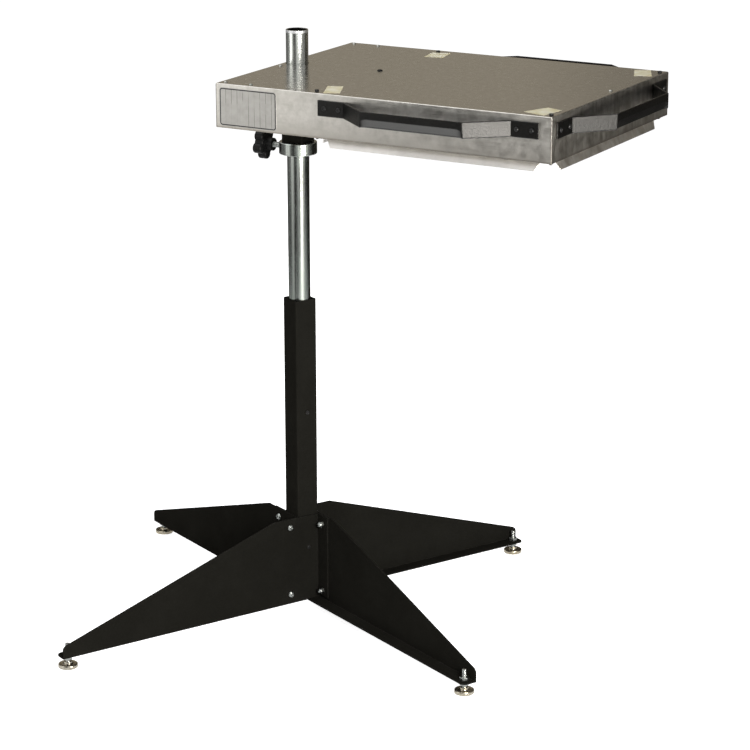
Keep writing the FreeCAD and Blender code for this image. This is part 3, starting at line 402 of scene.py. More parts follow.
# the post's top rim: a real deburred edge, painted much lighter than the post as a painted highlight
rimHighlightLook = dict(
    turnedLook, dark=(0.62, 0.63, 0.64), light=(0.82, 0.83, 0.84), tint=(0.66, 0.67, 0.70), rough=(0.42, 0.55),
)
elementLook = dict(
    turnedLook, dark=(0.14, 0.13, 0.13), light=(0.30, 0.28, 0.27), tint=(0.22, 0.17, 0.16), rough=(0.40, 0.60),
)


# painted highlight: brighter above a height; painted shade: dark where the face looks in towards the upright axis
def paintPostLight(tree, look, tone):
    spot, facing = objectAxes(tree), facingAxes(tree)
    outward = mathNode(
        tree, "ADD", multiply(tree, spot["X"], facing["X"]), multiply(tree, spot["Y"], facing["Y"]),
    )
    # painted highlight: lighter above the head
    litAbove = remap(tree, spot["Z"], *look["litFrom"], 0.0, look["litShare"])
    tone = mixColour(tree, litAbove, tone, look["litTone"])
    # painted shade: dark inside the tube
    return mixColour(tree, mathNode(tree, "LESS_THAN", outward, 0.0), tone, look["hollowShade"])


def makePlated(name, look):
    material, tree, shader = newFinish(name, Metallic=1.0)
    long = noise(tree, objectPlace(tree, look["along"]), look["streakScale"], detail=4.0, rough=0.6)
    cloud = noise(tree, objectPlace(tree), look["cloud"], detail=4.0, rough=0.6, spread=0.6)
    fine = noise(tree, objectPlace(tree), look["fine"], detail=2.0)
    worn = useWear(tree, look)
    tone = mixColour(tree, remap(tree, long, *midSpan), look["dark"], look["light"])
    tone = mixColour(tree, remap(tree, cloud, *look["tintSpan"], 0.0, look["tintShare"]), tone, look["tint"])
    if "hollowShade" in look:
        tone = paintPostLight(tree, look, tone)
    join(tree, mixColour(tree, worn["Mask"], tone, look["rim"]), shader.inputs["Base Color"])
    streaked = remap(tree, long, *midSpan, -look["roughSway"], look["roughSway"])
    rough = mathNode(tree, "ADD", remap(tree, cloud, *midSpan, *look["rough"]), streaked)
    join(tree, rough, shader.inputs["Roughness"])
    addBump(tree, shader, mathNode(tree, "ADD", long, fine), look, worn["Normal"])
    return material


# moulded plastic: faint sparkle grain and greyed rubbed edges
plasticLook = {
    "dark": (0.0045, 0.0045, 0.0043), "light": (0.008, 0.008, 0.0078), "rim": (0.035, 0.035, 0.034), "wear": 0.6,
    "gloss": 0.10, "grain": 1500.0, "cloud": 30.0, "toneSpan": (0.35, 0.7),
    "edge": 0.001, "reach": 0.25, "breakup": 120.0, "rough": (0.30, 0.44), "bump": 0.10, "bumpDeep": 0.0004,
}


def makePlastic(name, look):
    material, tree, shader = newFinish(name, Specular_IOR_Level=look["gloss"])
    place = objectPlace(tree)
    grain, cloud = noise(tree, place, look["grain"], detail=2.0), noise(tree, place, look["cloud"], detail=4.0)
    worn = useWear(tree, look)
    tone = mixColour(tree, remap(tree, cloud, *look["toneSpan"]), look["dark"], look["light"])
    rubbed = multiply(tree, worn["Mask"], look["wear"])
    join(tree, mixColour(tree, rubbed, tone, look["rim"]), shader.inputs["Base Color"])
    join(tree, remap(tree, cloud, *midSpan, *look["rough"]), shader.inputs["Roughness"])
    addBump(tree, shader, grain, look, worn["Normal"])
    return material


# fired or fibrous slab: weave of two crossed waves, mottled
emitterLook = {
    "dark": (0.018, 0.017, 0.017), "light": (0.05, 0.048, 0.046), "weave": 160.0, "cloud": 10.0,
    "rough": (0.7, 0.9), "bump": 0.35, "bumpDeep": 0.0006, "gloss": 0.2, "waver": 0.6, "threads": 0.35,
}
boardLook = dict(
    emitterLook, dark=(0.62, 0.59, 0.52), light=(0.85, 0.83, 0.78), weave=240.0, cloud=14.0,
    rough=(0.85, 0.97), bump=0.4,
)
terminalLook = dict(
    emitterLook, dark=(0.70, 0.68, 0.63), light=(0.86, 0.85, 0.81), weave=500.0, cloud=40.0,
    rough=(0.35, 0.5), bump=0.05,
)


def makeSlab(name, look):
    material, tree, shader = newFinish(name, Specular_IOR_Level=look["gloss"])
    place = objectPlace(tree)
    waves = []
    for axis in ("X", "Y"):
        wave = addNode(
            tree, "ShaderNodeTexWave", bands_direction=axis, Scale=look["weave"], Distortion=look["waver"],
        )
        join(tree, place, wave.inputs["Vector"])
        waves.append(wave.outputs["Fac"])
    cloth = multiply(tree, *waves)
    cloud = noise(tree, place, look["cloud"], detail=6.0, rough=0.65)
    tone = mixColour(tree, remap(tree, cloud, *midSpan), look["dark"], look["light"])
    tone = mixColour(tree, remap(tree, cloth, 0.0, 1.0, 0.0, look["threads"]), tone, look["light"])
    join(tree, tone, shader.inputs["Base Color"])
    join(tree, remap(tree, cloud, *midSpan, *look["rough"]), shader.inputs["Roughness"])
    addBump(tree, shader, cloth, look)
    return material


finishes = {
    "rim_metal": makePlated("rimHighlightMetal", rimHighlightLook),
    "seam_metal": makeMetal("seamMetal", seamLook),
    "stand_paint": makePaint("standPaint", paintLook),
    "handle_paint": makePaint("handlePaint", handleLook),
    "housing_metal": makeMetal("housingMetal", sheetLook),
    "skirt_metal": makeMetal("litSkirtMetal", litSkirtLook),
    "zinc": makePlated("zincBar", postLook),
    "zinc_fastener": makePlated("zincFastener", fastenerLook),
    "dark_fastener": makePaint("darkFastener", darkLook),
    "bright_screw": makePlated("brightScrew", screwLook),
    "yellow_zinc": makePlated("yellowZinc", padLook),
    "black_plastic": makePlastic("blackPlastic", plasticLook),
    "emitter": makeSlab("emitterCloth", emitterLook),
    "element": makePlated("elementRibbon", elementLook),
    "insulation": makeSlab("insulationFelt", boardLook),
    "terminal": makeSlab("terminalCeramic", terminalLook),
}
for entry in frame["record"]["subparts"]:
    mesh = nodes[entry["node"]].data
    mesh.materials.clear()
    mesh.materials.append(finishes[entry["material_slot"]])


# quads of a grid of rows by columns, the columns closed on themselves where asked
def gridFaces(rows, columns, closeColumns=False):
    down = np.arange(rows - 1)[:, None]
    over = np.arange(columns if closeColumns else columns - 1)[None, :]
    nextDown, nextOver = down + 1, (over + 1) % columns
    corners = (
        down * columns + over, down * columns + nextOver,
        nextDown * columns + nextOver, nextDown * columns + over,
    )
    return np.stack(np.broadcast_arrays(*corners), axis=-1).reshape(-1, 4)


# quads of a tube whose rings are the rows of a grid, with a flat cap on each end
def tubeFaces(rows, columns):
    caps = [range(columns - 1, -1, -1), range((rows - 1) * columns, rows * columns)]
    return [*gridFaces(rows, columns, closeColumns=True), *caps]


meshLook = {"mergeWithin": 1e-6, "sharpDegrees": 35}


# mesh from points and faces: doubled points at poles merge, faces turn outward by the sign of the volume
def addPiece(name, points, faces, finish, body, replaced=None):
    mesh = bpy.data.meshes.new(name)
    corners = [[int(corner) for corner in face] for face in faces]
    mesh.from_pydata(np.asarray(points).reshape(-1, 3).tolist(), [], corners)
    work = bmesh.new()
    work.from_mesh(mesh)
    bmesh.ops.remove_doubles(work, verts=work.verts, dist=meshLook["mergeWithin"])
    if work.calc_volume(signed=True) < 0:
        bmesh.ops.reverse_faces(work, faces=work.faces)
    work.to_mesh(mesh)
    work.free()
    mesh.polygons.foreach_set("use_smooth", np.full(len(mesh.polygons), True))
    mesh.set_sharp_from_angle(angle=math.radians(meshLook["sharpDegrees"]))
    mesh.materials.append(finish)
    piece = bpy.data.objects.new(name, mesh)
    bpy.context.scene.collection.objects.link(piece)
    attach(piece, body)
    if replaced:
        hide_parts(replaced)
    return piece


def boxArrays(node):
    return (np.array(corner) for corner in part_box(node))


# rounded rectangle outline: four quarter circles joined by straight runs, as across and up arrays
def roundedOutline(halfWidth, halfHeight, radius, perCorner=8):
    quarter = np.linspace(0, math.pi / 2, perCorner)
    turn = np.concatenate([quarter + k * math.pi / 2 for k in range(4)])
    signAcross = np.repeat([1, -1, -1, 1], perCorner)
    signUp = np.repeat([1, 1, -1, -1], perCorner)
    across = signAcross * (halfWidth - radius) + radius * np.cos(turn)
    up = signUp * (halfHeight - radius) + radius * np.sin(turn)
    return across, up


# thin plate: rings of the outline go up the edge, over the rounded rim and in to the centre
def plateRings(across, up, thick, edge):
    shrink = np.array([0.0, 1.0, 1.0, 1.0, 0.0])
    inset = np.array([0.0, 0.0, 0.0, edge, 0.0])
    rise = np.array([0.0, 0.0, thick - edge, thick, thick])
    length = np.hypot(across, up)
    ringAcross, ringUp = (
        side[None, :] * shrink[:, None] - inset[:, None] * (side / length)[None, :] for side in (across, up)
    )
    return ringAcross, ringUp, np.broadcast_to(rise[:, None], ringAcross.shape)


# bare rating plate on the front wall: border and plain rules only
plateLook = {
    "centre": (0.048, 1.1545), "half": (0.0658, 0.0384), "radius": 0.0065, "thick": 0.00025, "edge": 0.0001,
    "metallic": 0.7, "foil": ((0.31, 0.303, 0.284), (0.39, 0.381, 0.36)), "ink": (0.035, 0.034, 0.036),
    "borderInset": 0.0012, "borderCorner": 0.0055, "borderHalf": 0.0011,
    "ruleStart": 0.064, "ruleStep": 0.0066, "ruleHalf": 0.00042,
    "gaps": 26.0, "gapSpan": (0.44, 0.50), "gapShare": (0.12, 0.7),
    "cloud": 60.0, "rough": (0.38, 0.52), "bump": 0.05, "bumpDeep": 0.0003,
}


# border: a band at one distance round a rounded rectangle; rules: a zigzag across the plate, cut low
def makePlateFinish():
    look = plateLook
    material, tree, shader = newFinish("plateFoil", Metallic=look["metallic"])
    spot, corner, band = objectAxes(tree), look["borderCorner"], look["borderHalf"]
    squares = []
    for axis, centre, half in zip("XZ", look["centre"], look["half"]):
        away = mathNode(tree, "ABSOLUTE", mathNode(tree, "SUBTRACT", spot[axis], centre))
        past = mathNode(tree, "SUBTRACT", away, half - look["borderInset"] - corner)
        past = mathNode(tree, "MAXIMUM", past, 0.0)
        squares.append(multiply(tree, past, past))
    reach = mathNode(tree, "POWER", mathNode(tree, "ADD", *squares), 0.5)
    offBand = mathNode(tree, "ABSOLUTE", mathNode(tree, "SUBTRACT", reach, corner - band))
    border = mathNode(tree, "LESS_THAN", offBand, band)
    inside = mathNode(tree, "LESS_THAN", reach, corner - 2 * band)
    fromLeft = mathNode(tree, "ADD", mathNode(tree, "SUBTRACT", spot["X"], look["centre"][0]), look["ruleStart"])
    step = mathNode(tree, "PINGPONG", fromLeft, look["ruleStep"])
    cloud = noise(tree, objectPlace(tree), look["cloud"], detail=4.0)
    broken = noise(tree, objectPlace(tree), look["gaps"], detail=1.0)
    gaps = remap(tree, broken, *look["gapSpan"], *look["gapShare"])
    rule = multiply(tree, mathNode(tree, "LESS_THAN", step, look["ruleHalf"]), multiply(tree, inside, gaps))
    foil = mixColour(tree, remap(tree, cloud, *midSpan), *look["foil"])
    inked = mixColour(tree, mathNode(tree, "MAXIMUM", border, rule), foil, look["ink"])
    join(tree, inked, shader.inputs["Base Color"])
    join(tree, remap(tree, cloud, *midSpan, *look["rough"]), shader.inputs["Roughness"])
    addBump(tree, shader, cloud, look)
    return material


def makeRatingPlate():
    look = plateLook
    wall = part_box("head_housing")[0].y
    across, up = roundedOutline(*look["half"], look["radius"])
    ringX, ringZ, rise = plateRings(across, up, look["thick"], look["edge"])
    points = np.stack([look["centre"][0] + ringX, wall - rise, look["centre"][1] + ringZ], axis=-1)
    faces = gridFaces(*ringX.shape, closeColumns=True)
    addPiece("ratingPlate", points, faces, makePlateFinish(), "head")


makeRatingPlate()

# four bare corner labels on the top, with their corners in order round each
labelLook = {
    "thick": 0.00025, "curl": 0.0006, "curlFrom": 1.55, "curlSharp": 4, "grid": (14, 20),
    "gloss": 0.4, "colours": ((0.54, 0.48, 0.27), (0.70, 0.67, 0.54)), "cloud": 45.0, "toneSpan": (0.35, 0.65),
    "fleckColour": (0.45, 0.42, 0.34), "fleck": 420.0, "fleckSpan": (0.62, 0.72), "fleckShare": 0.5,
    "rough": (0.35, 0.6), "bump": 0.08, "bumpDeep": 0.0002,
    "corners": {
        "labelFrontLeft": ((0.216, -0.264), (0.187, -0.198), (0.217, -0.187), (0.246, -0.252)),
        "labelFrontRight": ((0.641, -0.247), (0.664, -0.190), (0.699, -0.204), (0.690, -0.263)),
        "labelBackRight": ((0.670, 0.195), (0.644, 0.256), (0.675, 0.268), (0.703, 0.208)),
        "labelBackLeft": ((0.196, 0.190), (0.187, 0.244), (0.226, 0.250), (0.236, 0.197)),
    },
}


def makeLabelFinish():
    look = labelLook
    material, tree, shader = newFinish("labelFilm", Specular_IOR_Level=look["gloss"])
    place = objectPlace(tree)
    cloud, fleck = noise(tree, place, look["cloud"], detail=4.0), noise(tree, place, look["fleck"], detail=2.0)
    tone = mixColour(tree, remap(tree, cloud, *look["toneSpan"]), *look["colours"])
    flecks = remap(tree, fleck, *look["fleckSpan"], 0.0, look["fleckShare"])
    join(tree, mixColour(tree, flecks, tone, look["fleckColour"]), shader.inputs["Base Color"])
    join(tree, remap(tree, cloud, *midSpan, *look["rough"]), shader.inputs["Roughness"])
    addBump(tree, shader, fleck, look)
    return material


# each label is a skewed sheet, blended between its four corners, one free corner curling up a little;
# its underside is the same sheet one thickness lower, and a rim joins the two
def makeLabels():
    look = labelLook
    finish = makeLabelFinish()
    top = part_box("head_housing")[1].z
    rows, columns = look["grid"]
    count = rows * columns
    u, v = np.meshgrid(np.linspace(0, 1, rows), np.linspace(0, 1, columns), indexing="ij")
    lift = look["curl"] * np.clip(u + v - look["curlFrom"], 0, 1) ** 2 * look["curlSharp"]
    faces = gridFaces(rows, columns)[:, ::-1]
    ring = np.concatenate([
        np.arange(columns), columns - 1 + columns * np.arange(1, rows),
        count - 2 - np.arange(columns - 1), columns * np.arange(rows - 2, 0, -1),
    ])
    nextRing = np.roll(ring, -1)
    rim = np.stack([ring, nextRing, nextRing + count, ring + count], axis=-1)
    allFaces = np.concatenate([faces, faces[:, ::-1] + count, rim[:, ::-1]])
    for name, corners in look["corners"].items():
        near, far, farRight, nearRight = np.array(corners)
        x, y = (
            near[k] * (1 - u) * (1 - v) + nearRight[k] * u * (1 - v)
            + far[k] * (1 - u) * v + farRight[k] * u * v
            for k in (0, 1)
        )
        sheet = np.stack([x, y, top + look["thick"] + lift], axis=-1)
        under = np.stack([x, y, top + lift], axis=-1)
        points = np.concatenate([sheet.reshape(-1, 3), under.reshape(-1, 3)])
        addPiece(name, points, allFaces, finish, "head")


makeLabels()
print("plate and labels made")

# handles: a flat bar carried along a bent path, its lower half tucked in along the grip
handleShape = {
    "height": 0.031, "sheet": 0.004, "depth": 0.066, "slope": 40.7, "tab": {"end_handle": 0.063},
    "usualTab": 0.057, "bend": 0.0035, "bendSteps": 9, "step": 0.002, "upSteps": 31,
    "edge": 0.0008, "edgeShare": 0.6,  # corners of the bar's section drawn in
    "tuck": 0.0065, "tuckEnd": 0.016, "tuckAbove": 0.12, "tuckFade": 0.35,
}


# path of the bar's middle: straight runs joined by arcs of one radius, given as spot and heading arrays
def handlePath(look, half, tab):
    rise = math.radians(look["slope"])
    tabIn = half - tab
    gripHalf = tabIn - (look["depth"] - look["sheet"]) / math.tan(rise)
    middleOut = look["sheet"] / 2
    gripOut = look["depth"] - middleOut
    shift = look["sheet"] / 2 * math.tan(rise / 2)
    corners = np.array([
        (half, middleOut), (tabIn - shift, middleOut), (gripHalf - shift, gripOut),
        (shift - gripHalf, gripOut), (shift - tabIn, middleOut), (-half, middleOut),
    ])
    trim = look["bend"] * math.tan(rise / 2)
    runs = np.diff(corners, axis=0)
    along = runs / np.linalg.norm(runs, axis=1)[:, None]
    bearing = np.arctan2(along[:, 1], along[:, 0])
    arc = np.linspace(0, 1, look["bendSteps"])
    final = len(runs) - 1
    spots, headings = [], []
    for k in range(len(runs)):
        start = corners[k] + (along[k] * trim if k else 0)
        stop = corners[k + 1] - (along[k] * trim if k < final else 0)
        count = max(2, int(np.linalg.norm(stop - start) / look["step"]))
        spots.append(start + (stop - start) * np.linspace(0, 1, count)[:, None])
        headings.append(np.repeat(bearing[k], count))
        if k < final:
            sweep = (bearing[k + 1] - bearing[k] + math.pi) % (2 * math.pi) - math.pi
            heading = bearing[k] + sweep * arc
            offset = math.copysign(look["bend"], sweep)
            hub = stop + offset * np.array([-math.sin(bearing[k]), math.cos(bearing[k])])
            spots.append(hub - offset * np.stack([-np.sin(heading), np.cos(heading)], axis=-1))
            headings.append(heading)
    return np.concatenate(spots), np.concatenate(headings), gripHalf


# section: two upright columns of points, one sheet apart; the tuck grows downwards and eases in at the grip's ends
def makeHandle(name, node, base, acrossAxis, outAxis):
    look = handleShape
    low, high = boxArrays(node)
    half = (high - low) @ np.abs(acrossAxis) / 2
    path, heading, gripHalf = handlePath(look, half, look["tab"].get(node, look["usualTab"]))
    up = np.linspace(-0.5, 0.5, look["upSteps"])
    near = np.stack([np.full(len(up), -0.5), up], axis=-1)
    outline = np.concatenate([near, -near])
    soft = np.where(np.isclose(np.abs(outline[:, 1]), 0.5), look["edge"], 0.0)
    thick = outline[:, 0] * look["sheet"] - np.sign(outline[:, 0]) * soft * look["edgeShare"]
    tall = outline[:, 1] * look["height"]
    side = np.stack([np.sin(heading), -np.cos(heading)], axis=-1)
    plan = path[:, None, :] + side[:, None, :] * thick[None, :, None]
    inGrip = np.clip((gripHalf - np.abs(path[:, 0])) / look["tuckEnd"], 0, 1)
    inGrip = np.sqrt(1 - (1 - inGrip) ** 2)[:, None]
    below = -tall / (look["height"] / 2) + look["tuckAbove"]
    lean = np.clip(below[None, :] - (1 - inGrip) * look["tuckFade"], 0, 1) * np.where(inGrip > 0, 1, 0)
    plan[:, :, 1] -= look["tuck"] * lean * inGrip
    points = base + plan[:, :, :1] * acrossAxis + plan[:, :, 1:] * outAxis
    points[:, :, 2] += tall[None, :]
    addPiece(name, points, tubeFaces(*plan.shape[:2]), finishes["handle_paint"], "head", node)


for node, acrossAxis, outAxis in (
    ("front_handle", (1, 0, 0), (0, -1, 0)), ("end_handle", (0, 1, 0), (1, 0, 0)),
    ("back_handle", (-1, 0, 0), (0, 1, 0)),
):
    acrossAxis, outAxis = np.array(acrossAxis, float), np.array(outAxis, float)
    low, high = boxArrays(node)
    middle = (low + high) / 2
    onWall = np.where(outAxis > 0, low, np.where(outAxis < 0, high, middle))
    makeHandle(node.split("_")[0] + "HandleBar", node, onWall, acrossAxis, outAxis)
print("handles made")

# screw threads: radius falls and climbs once a pitch along a helix, and fades out at both ends
threadShape = {
    "pitch": 0.0015, "depth": 0.00085, "around": 40, "perPitch": 8, "fewestRows": 6,
    "steep": 1.25, "crest": 0.12, "fade": 0.04,  # flank's slope, flat crest, run-out as a share of the length
    "edge": 0.0008, "point": 0.0006,  # length and depth of the chamfer on each end
}


def makeThread(name, node, axis, finish, body, threadFrom=0.0, threadTo=1.0):
    look = threadShape
    low, high = boxArrays(node)
    middle = (low + high) / 2
    length = (high - low)[axis]
    first, second = (k for k in range(3) if k != axis)
    radius = (high - low)[first] / 2
    chamfer = look["edge"] / length
    inner = np.linspace(0, 1, max(look["fewestRows"], int(length / look["pitch"] * look["perPitch"])))
    inner = inner[(inner > chamfer) & (inner < 1 - chamfer)]
    stations = np.concatenate([[0.0, chamfer / 2], inner, [1 - chamfer / 2, 1.0]])
    angle = np.linspace(0, 2 * math.pi, look["around"], endpoint=False)
    along, turn = np.meshgrid(stations * length, angle, indexing="ij")
    phase = (along / look["pitch"] - turn / (2 * math.pi)) % 1.0
    dip = np.clip(look["steep"] * np.abs(2 * phase - 1) - look["crest"], 0, 1)
    share = along / length
    fade = np.clip((share - threadFrom) / look["fade"], 0, 1) * np.clip((threadTo - share) / look["fade"], 0, 1)
    fromEnd = np.clip(np.minimum(along, length - along) / look["edge"], 0, 1)
    wide = radius - look["depth"] * dip * fade - look["point"] * (1 - fromEnd)
    points = np.zeros((*wide.shape, 3))
    points[:, :, axis] = low[axis] + along
    points[:, :, first] = middle[first] + wide * np.cos(turn)
    points[:, :, second] = middle[second] + wide * np.sin(turn)
    addPiece(name, points, tubeFaces(*wide.shape), finish, body, node)


footCorners = ("front_right", "back_right", "back_left", "front_left")
for corner in footCorners:
    makeThread(
        "footThread_" + corner, "foot_stud_" + corner, 2, finishes["zinc_fastener"],
        "foot_" + corner, threadFrom=0.25,
    )
makeThread("clampThread", "clamp_stud", 0, finishes["zinc_fastener"], "clamp_screw")
print("threads made")


# turned piece: a profile of radius and height carried once round an upright axis
def makeTurned(name, centre, profile, around, finish, body, replaced=None):
    radius, height = np.array(profile).T
    angle = np.linspace(0, 2 * math.pi, around, endpoint=False)
    points = np.stack([
        centre[0] + radius[:, None] * np.cos(angle), centre[1] + radius[:, None] * np.sin(angle),
        centre[2] + np.broadcast_to(height[:, None], (len(radius), around)),
    ], axis=-1)
    addPiece(name, points, gridFaces(len(radius), around, closeColumns=True), finish, body, replaced)


# foot pads: a thick turned disc, dished round a boss, as radius and height from the centre below to the centre above
padShape = {
    "around": 72,
    "profile": (
        (0.0, 0.0), (0.0185, 0.0), (0.0198, 0.0004), (0.0204, 0.0013), (0.0205, 0.0022), (0.0205, 0.0060),
        (0.0203, 0.0071), (0.0196, 0.0079), (0.0185, 0.0081), (0.0172, 0.0079), (0.0140, 0.0073),
        (0.0108, 0.0074), (0.0095, 0.0079), (0.0087, 0.0088), (0.0085, 0.0098), (0.0085, 0.0120),
        (0.0082, 0.0128), (0.0075, 0.0130), (0.0050, 0.0130), (0.0, 0.0128),
    ),
}
for corner in footCorners:
    low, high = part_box("foot_pad_" + corner)
    makeTurned(
        "footDisc_" + corner, ((low.x + high.x) / 2, (low.y + high.y) / 2, low.z),
        padShape["profile"], padShape["around"],
        finishes["yellow_zinc"], "foot_" + corner, "foot_pad_" + corner,
    )

# deburred rim round the open top of the post, its light finish a painted highlight on the real edge: up the outside,
# over two quarter rounds, down the inside
rimShape = {"proud": 0.00012, "deep": 0.0055, "wall": 0.0024, "round": 0.0011, "roundSteps": 6, "around": 96}


def makePostRim():
    look = rimShape
    low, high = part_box("post")
    outer, top = (high.x - low.x) / 2 + look["proud"], high.z
    inner, foot, bend = outer - look["wall"], top - look["deep"], look["round"]
    turn = np.linspace(0, math.pi / 2, look["roundSteps"])
    cos, sin = bend * np.cos(turn), bend * np.sin(turn)
    outerArc = np.stack([outer - bend + cos, top - bend + sin], axis=-1)
    innerArc = np.stack([inner + bend - sin, top - bend + cos], axis=-1)
    profile = np.concatenate([[(outer, foot)], outerArc, innerArc, [(inner, foot), (outer, foot)]])
    centre = ((low.x + high.x) / 2, (low.y + high.y) / 2, 0.0)
    makeTurned("postRim", centre, profile, look["around"], finishes["rim_metal"], "stand")


makePostRim()

# open seams where the folded walls meet: two sheet edges with a narrow gap, carried up each corner of the head
seamShape = {
    "leg": 0.0021, "gap": 0.0005, "deep": 0.0012, "footGap": 0.0002, "topGap": 0.0021, "levels": 24,
    "sides": {"FrontRight": (1, -1), "BackRight": (1, 1), "BackLeft": (-1, 1), "FrontLeft": (-1, -1)},
}


def makeSeams():
    look = seamShape
    low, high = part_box("head_housing")
    leg, gap, deep = look["leg"], look["gap"], look["deep"]
    section = np.array([
        (leg, 0), (gap, 0), (gap, deep), (deep, deep), (deep, gap), (0, gap), (0, leg), (leg, leg),
    ])
    heights = np.linspace(low.z + look["footGap"], high.z - look["topGap"], look["levels"])
    shape = (len(heights), len(section))
    for name, (sideX, sideY) in look["sides"].items():
        x = (high.x if sideX > 0 else low.x) - sideX * section[:, 0]
        y = (high.y if sideY > 0 else low.y) - sideY * section[:, 1]
        points = np.stack(np.broadcast_arrays(x[None, :], y[None, :], heights[:, None]), axis=-1)
        addPiece("seam" + name, points, tubeFaces(*shape), finishes["seam_metal"], "head")


makeSeams()
print("feet, rim and seams made")

# studio: white floor and world, four soft panels, and four grey cards that only reflections see
# a card's tone runs from first to last over turn, and on to end over again; it falls to low below lift
studio = {
    "ambient": 0.20, "floorHalf": 9.0, "floorTone": (0.86, 0.86, 0.86, 1), "floorRough": 0.9,
    "floorGlow": 0.86, "floorMirrored": 0.25,
    "panels": {
        "overheadPanel": {
            "spot": (-0.8, -0.5, 3.6), "aim": (0.3, -0.1, 1.0), "size": (2.2, 2.2), "watts": 32.0,
        },
        "rightPanel": {
            "spot": (2.35, -1.3, 0.93), "aim": (0.6, -0.25, 1.15), "size": (1.0, 0.62), "watts": 142.0,
            "diffuse": False, "colour": (1.0, 0.955, 0.88),
        },
        "keyPanel": {
            "spot": (3.1, -3.0, 2.0), "aim": (0.0, -0.1, 0.4), "size": (1.4, 1.4), "watts": 245.0, "mirrored": False,
        },
        "backPanel": {
            "spot": (-1.8, 3.2, 2.2), "aim": (0.0, 0.0, 0.5), "size": (1.6, 1.6), "watts": 70.0, "mirrored": False,
        },
    },
    "cards": {
        "backCard": {
            "ends": ((-2.4, 1.5), (3.2, 1.5)), "z": (-0.05, 4.6), "along": "X", "turn": (-0.2, 0.8),
            "first": (0.35, 0.313, 0.25), "last": (0.08, 0.072, 0.059), "low": 0.18, "lift": (0.75, 1.15),
        },
        "frontCard": {
            "ends": ((-2.4, -2.1), (3.2, -2.1)), "z": (-0.05, 1.9), "along": "X", "turn": (-1.25, -0.4),
            "first": (2.7, 2.67, 2.60), "last": (0.08, 0.08, 0.077), "low": 0.22, "lift": (0.42, 0.60),
            "again": (0.5, 1.1), "end": (1.30, 1.31, 1.30),
        },
        "leftCard": {
            "ends": ((-2.4, 1.5), (-2.4, -2.1)), "z": (-0.05, 1.9), "along": "Y", "turn": (0.2, -2.0),
            "first": (0.16, 0.16, 0.152), "last": (0.46, 0.46, 0.447), "low": 0.35, "lift": (0.22, 0.48),
        },
        "rightCard": {
            "ends": ((3.2, -2.1), (3.2, 1.5)), "z": (-0.05, 1.9), "along": "Y", "turn": (-1.5, 0.8),
            "first": (0.20, 0.20, 0.19), "last": (0.08, 0.08, 0.075), "low": 0.5, "lift": (0.30, 0.65),
        },
    },
}


def addPanel(name, look):
    lamp = bpy.data.lights.new(name, "AREA")
    lamp.shape, lamp.energy = "RECTANGLE", look["watts"]
    lamp.size, lamp.size_y = look["size"]
    lamp.color = look.get("colour", (1, 1, 1))
    panel = bpy.data.objects.new(name, lamp)
    bpy.context.scene.collection.objects.link(panel)
    panel.location = look["spot"]
    direction = Vector(look["aim"]) - Vector(look["spot"])
    panel.rotation_euler = direction.to_track_quat("-Z", "Y").to_euler()
    panel.visible_camera = False
    panel.visible_diffuse = look.get("diffuse", True)
    panel.visible_glossy = look.get("mirrored", True)


for panelName, panelLook in studio["panels"].items():
    addPanel(panelName, panelLook)

# the world is white where it is seen or mirrored, and dim where it lights the object
world = bpy.data.worlds.new("studioWorld")
bpy.context.scene.world = world
world.use_nodes = True
sky = world.node_tree
seen = addNode(sky, "ShaderNodeLightPath").outputs
direct = mathNode(sky, "ADD", seen["Is Camera Ray"], seen["Is Glossy Ray"])
direct = mathNode(sky, "ADD", direct, seen["Is Transmission Ray"], clamp=True)
background = sky.nodes["Background"]
background.inputs["Color"].default_value = (1, 1, 1, 1)
join(sky, remap(sky, direct, 0.0, 1.0, studio["ambient"], 1.0), background.inputs["Strength"])


# one flat four-cornered sheet of the studio
def flatMesh(name, corners):
    mesh = bpy.data.meshes.new(name)
    mesh.from_pydata(corners, [], [(0, 1, 2, 3)])
    piece = bpy.data.objects.new(name, mesh)
    bpy.context.scene.collection.objects.link(piece)
    return piece


half = studio["floorHalf"]
floor = flatMesh("floor", [(-half, -half, 0), (half, -half, 0), (half, half, 0), (-half, half, 0)])
floorPaint, floorTree, floorShader = newFinish(
    "floorPaint", Roughness=studio["floorRough"], Specular_IOR_Level=0.0, Base_Color=studio["floorTone"],
    Emission_Color=(1, 1, 1, 1),
)
lit = addNode(floorTree, "ShaderNodeLightPath").outputs
seenFloor = mathNode(floorTree, "ADD", lit["Is Camera Ray"], lit["Is Transmission Ray"], clamp=True)
mirrored = multiply(floorTree, lit["Is Glossy Ray"], studio["floorMirrored"])
glow = mathNode(floorTree, "ADD", multiply(floorTree, seenFloor, studio["floorGlow"]), mirrored)
join(floorTree, glow, floorShader.inputs["Emission Strength"])
floor.data.materials.append(floorPaint)


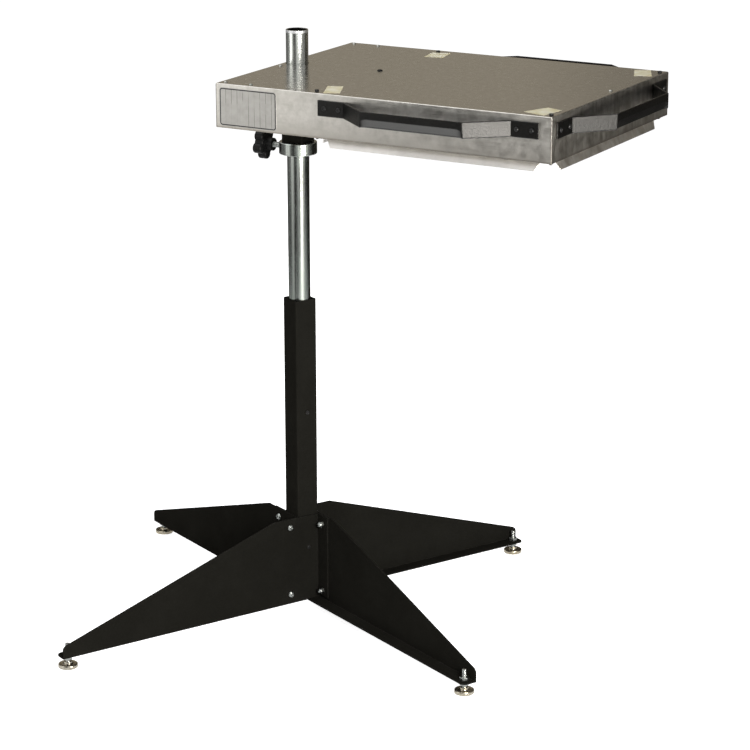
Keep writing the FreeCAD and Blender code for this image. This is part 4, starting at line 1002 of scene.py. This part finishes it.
def addCard(name, look):
    start, stop = look["ends"]
    low, high = look["z"]
    card = flatMesh(name, [(*start, low), (*stop, low), (*stop, high), (*start, high)])
    card.visible_camera = card.visible_diffuse = card.visible_shadow = card.visible_transmission = False
    paint = bpy.data.materials.new(name + "Paint")
    paint.use_nodes = True
    tree = paint.node_tree
    tree.nodes.remove(tree.nodes["Principled BSDF"])
    glow = addNode(tree, "ShaderNodeEmission")
    spot = objectAxes(tree)
    along = spot[look["along"]]
    tone = mixColour(tree, remap(tree, along, *look["turn"]), look["first"], look["last"])
    if "again" in look:
        tone = mixColour(tree, remap(tree, along, *look["again"]), tone, look["end"])
    join(tree, tone, glow.inputs["Color"])
    join(tree, remap(tree, spot["Z"], *look["lift"], look["low"], 1.0), glow.inputs["Strength"])
    join(tree, glow.outputs[0], tree.nodes["Material Output"].inputs["Surface"])
    card.data.materials.append(paint)


for cardName, cardLook in studio["cards"].items():
    addCard(cardName, cardLook)

# camera: fitted to the corners of the head, the tube and the feet; angles in degrees, focal and frame in pixels
cameraLook = {
    "azimuth": 29.184, "elevation": 16.622, "roll": -0.097, "focal": 2691.54, "frame": 750, "sensor": 36.0,
    "spot": (2.82313, -4.72816, 2.17114), "clipEnd": 60.0,
}
az, el, roll = (math.radians(cameraLook[key]) for key in ("azimuth", "elevation", "roll"))
backward = Vector((math.sin(az) * math.cos(el), -math.cos(az) * math.cos(el), math.sin(el)))
rightward = Vector((math.cos(az), math.sin(az), 0))
upward = backward.cross(rightward)
turnedRight = math.cos(roll) * rightward + math.sin(roll) * upward
turnedUp = math.cos(roll) * upward - math.sin(roll) * rightward
lens = bpy.data.cameras.new("camera")
lens.sensor_width = cameraLook["sensor"]
lens.lens = cameraLook["focal"] * cameraLook["sensor"] / cameraLook["frame"]
lens.clip_end = cameraLook["clipEnd"]
camera = bpy.data.objects.new("camera", lens)
bpy.context.scene.collection.objects.link(camera)
turned = Matrix((turnedRight, turnedUp, backward)).transposed().to_4x4()
camera.matrix_world = Matrix.Translation(Vector(cameraLook["spot"])) @ turned
bpy.context.scene.camera = camera
bpy.context.scene.view_settings.view_transform = "Standard"
print("studio and camera set")
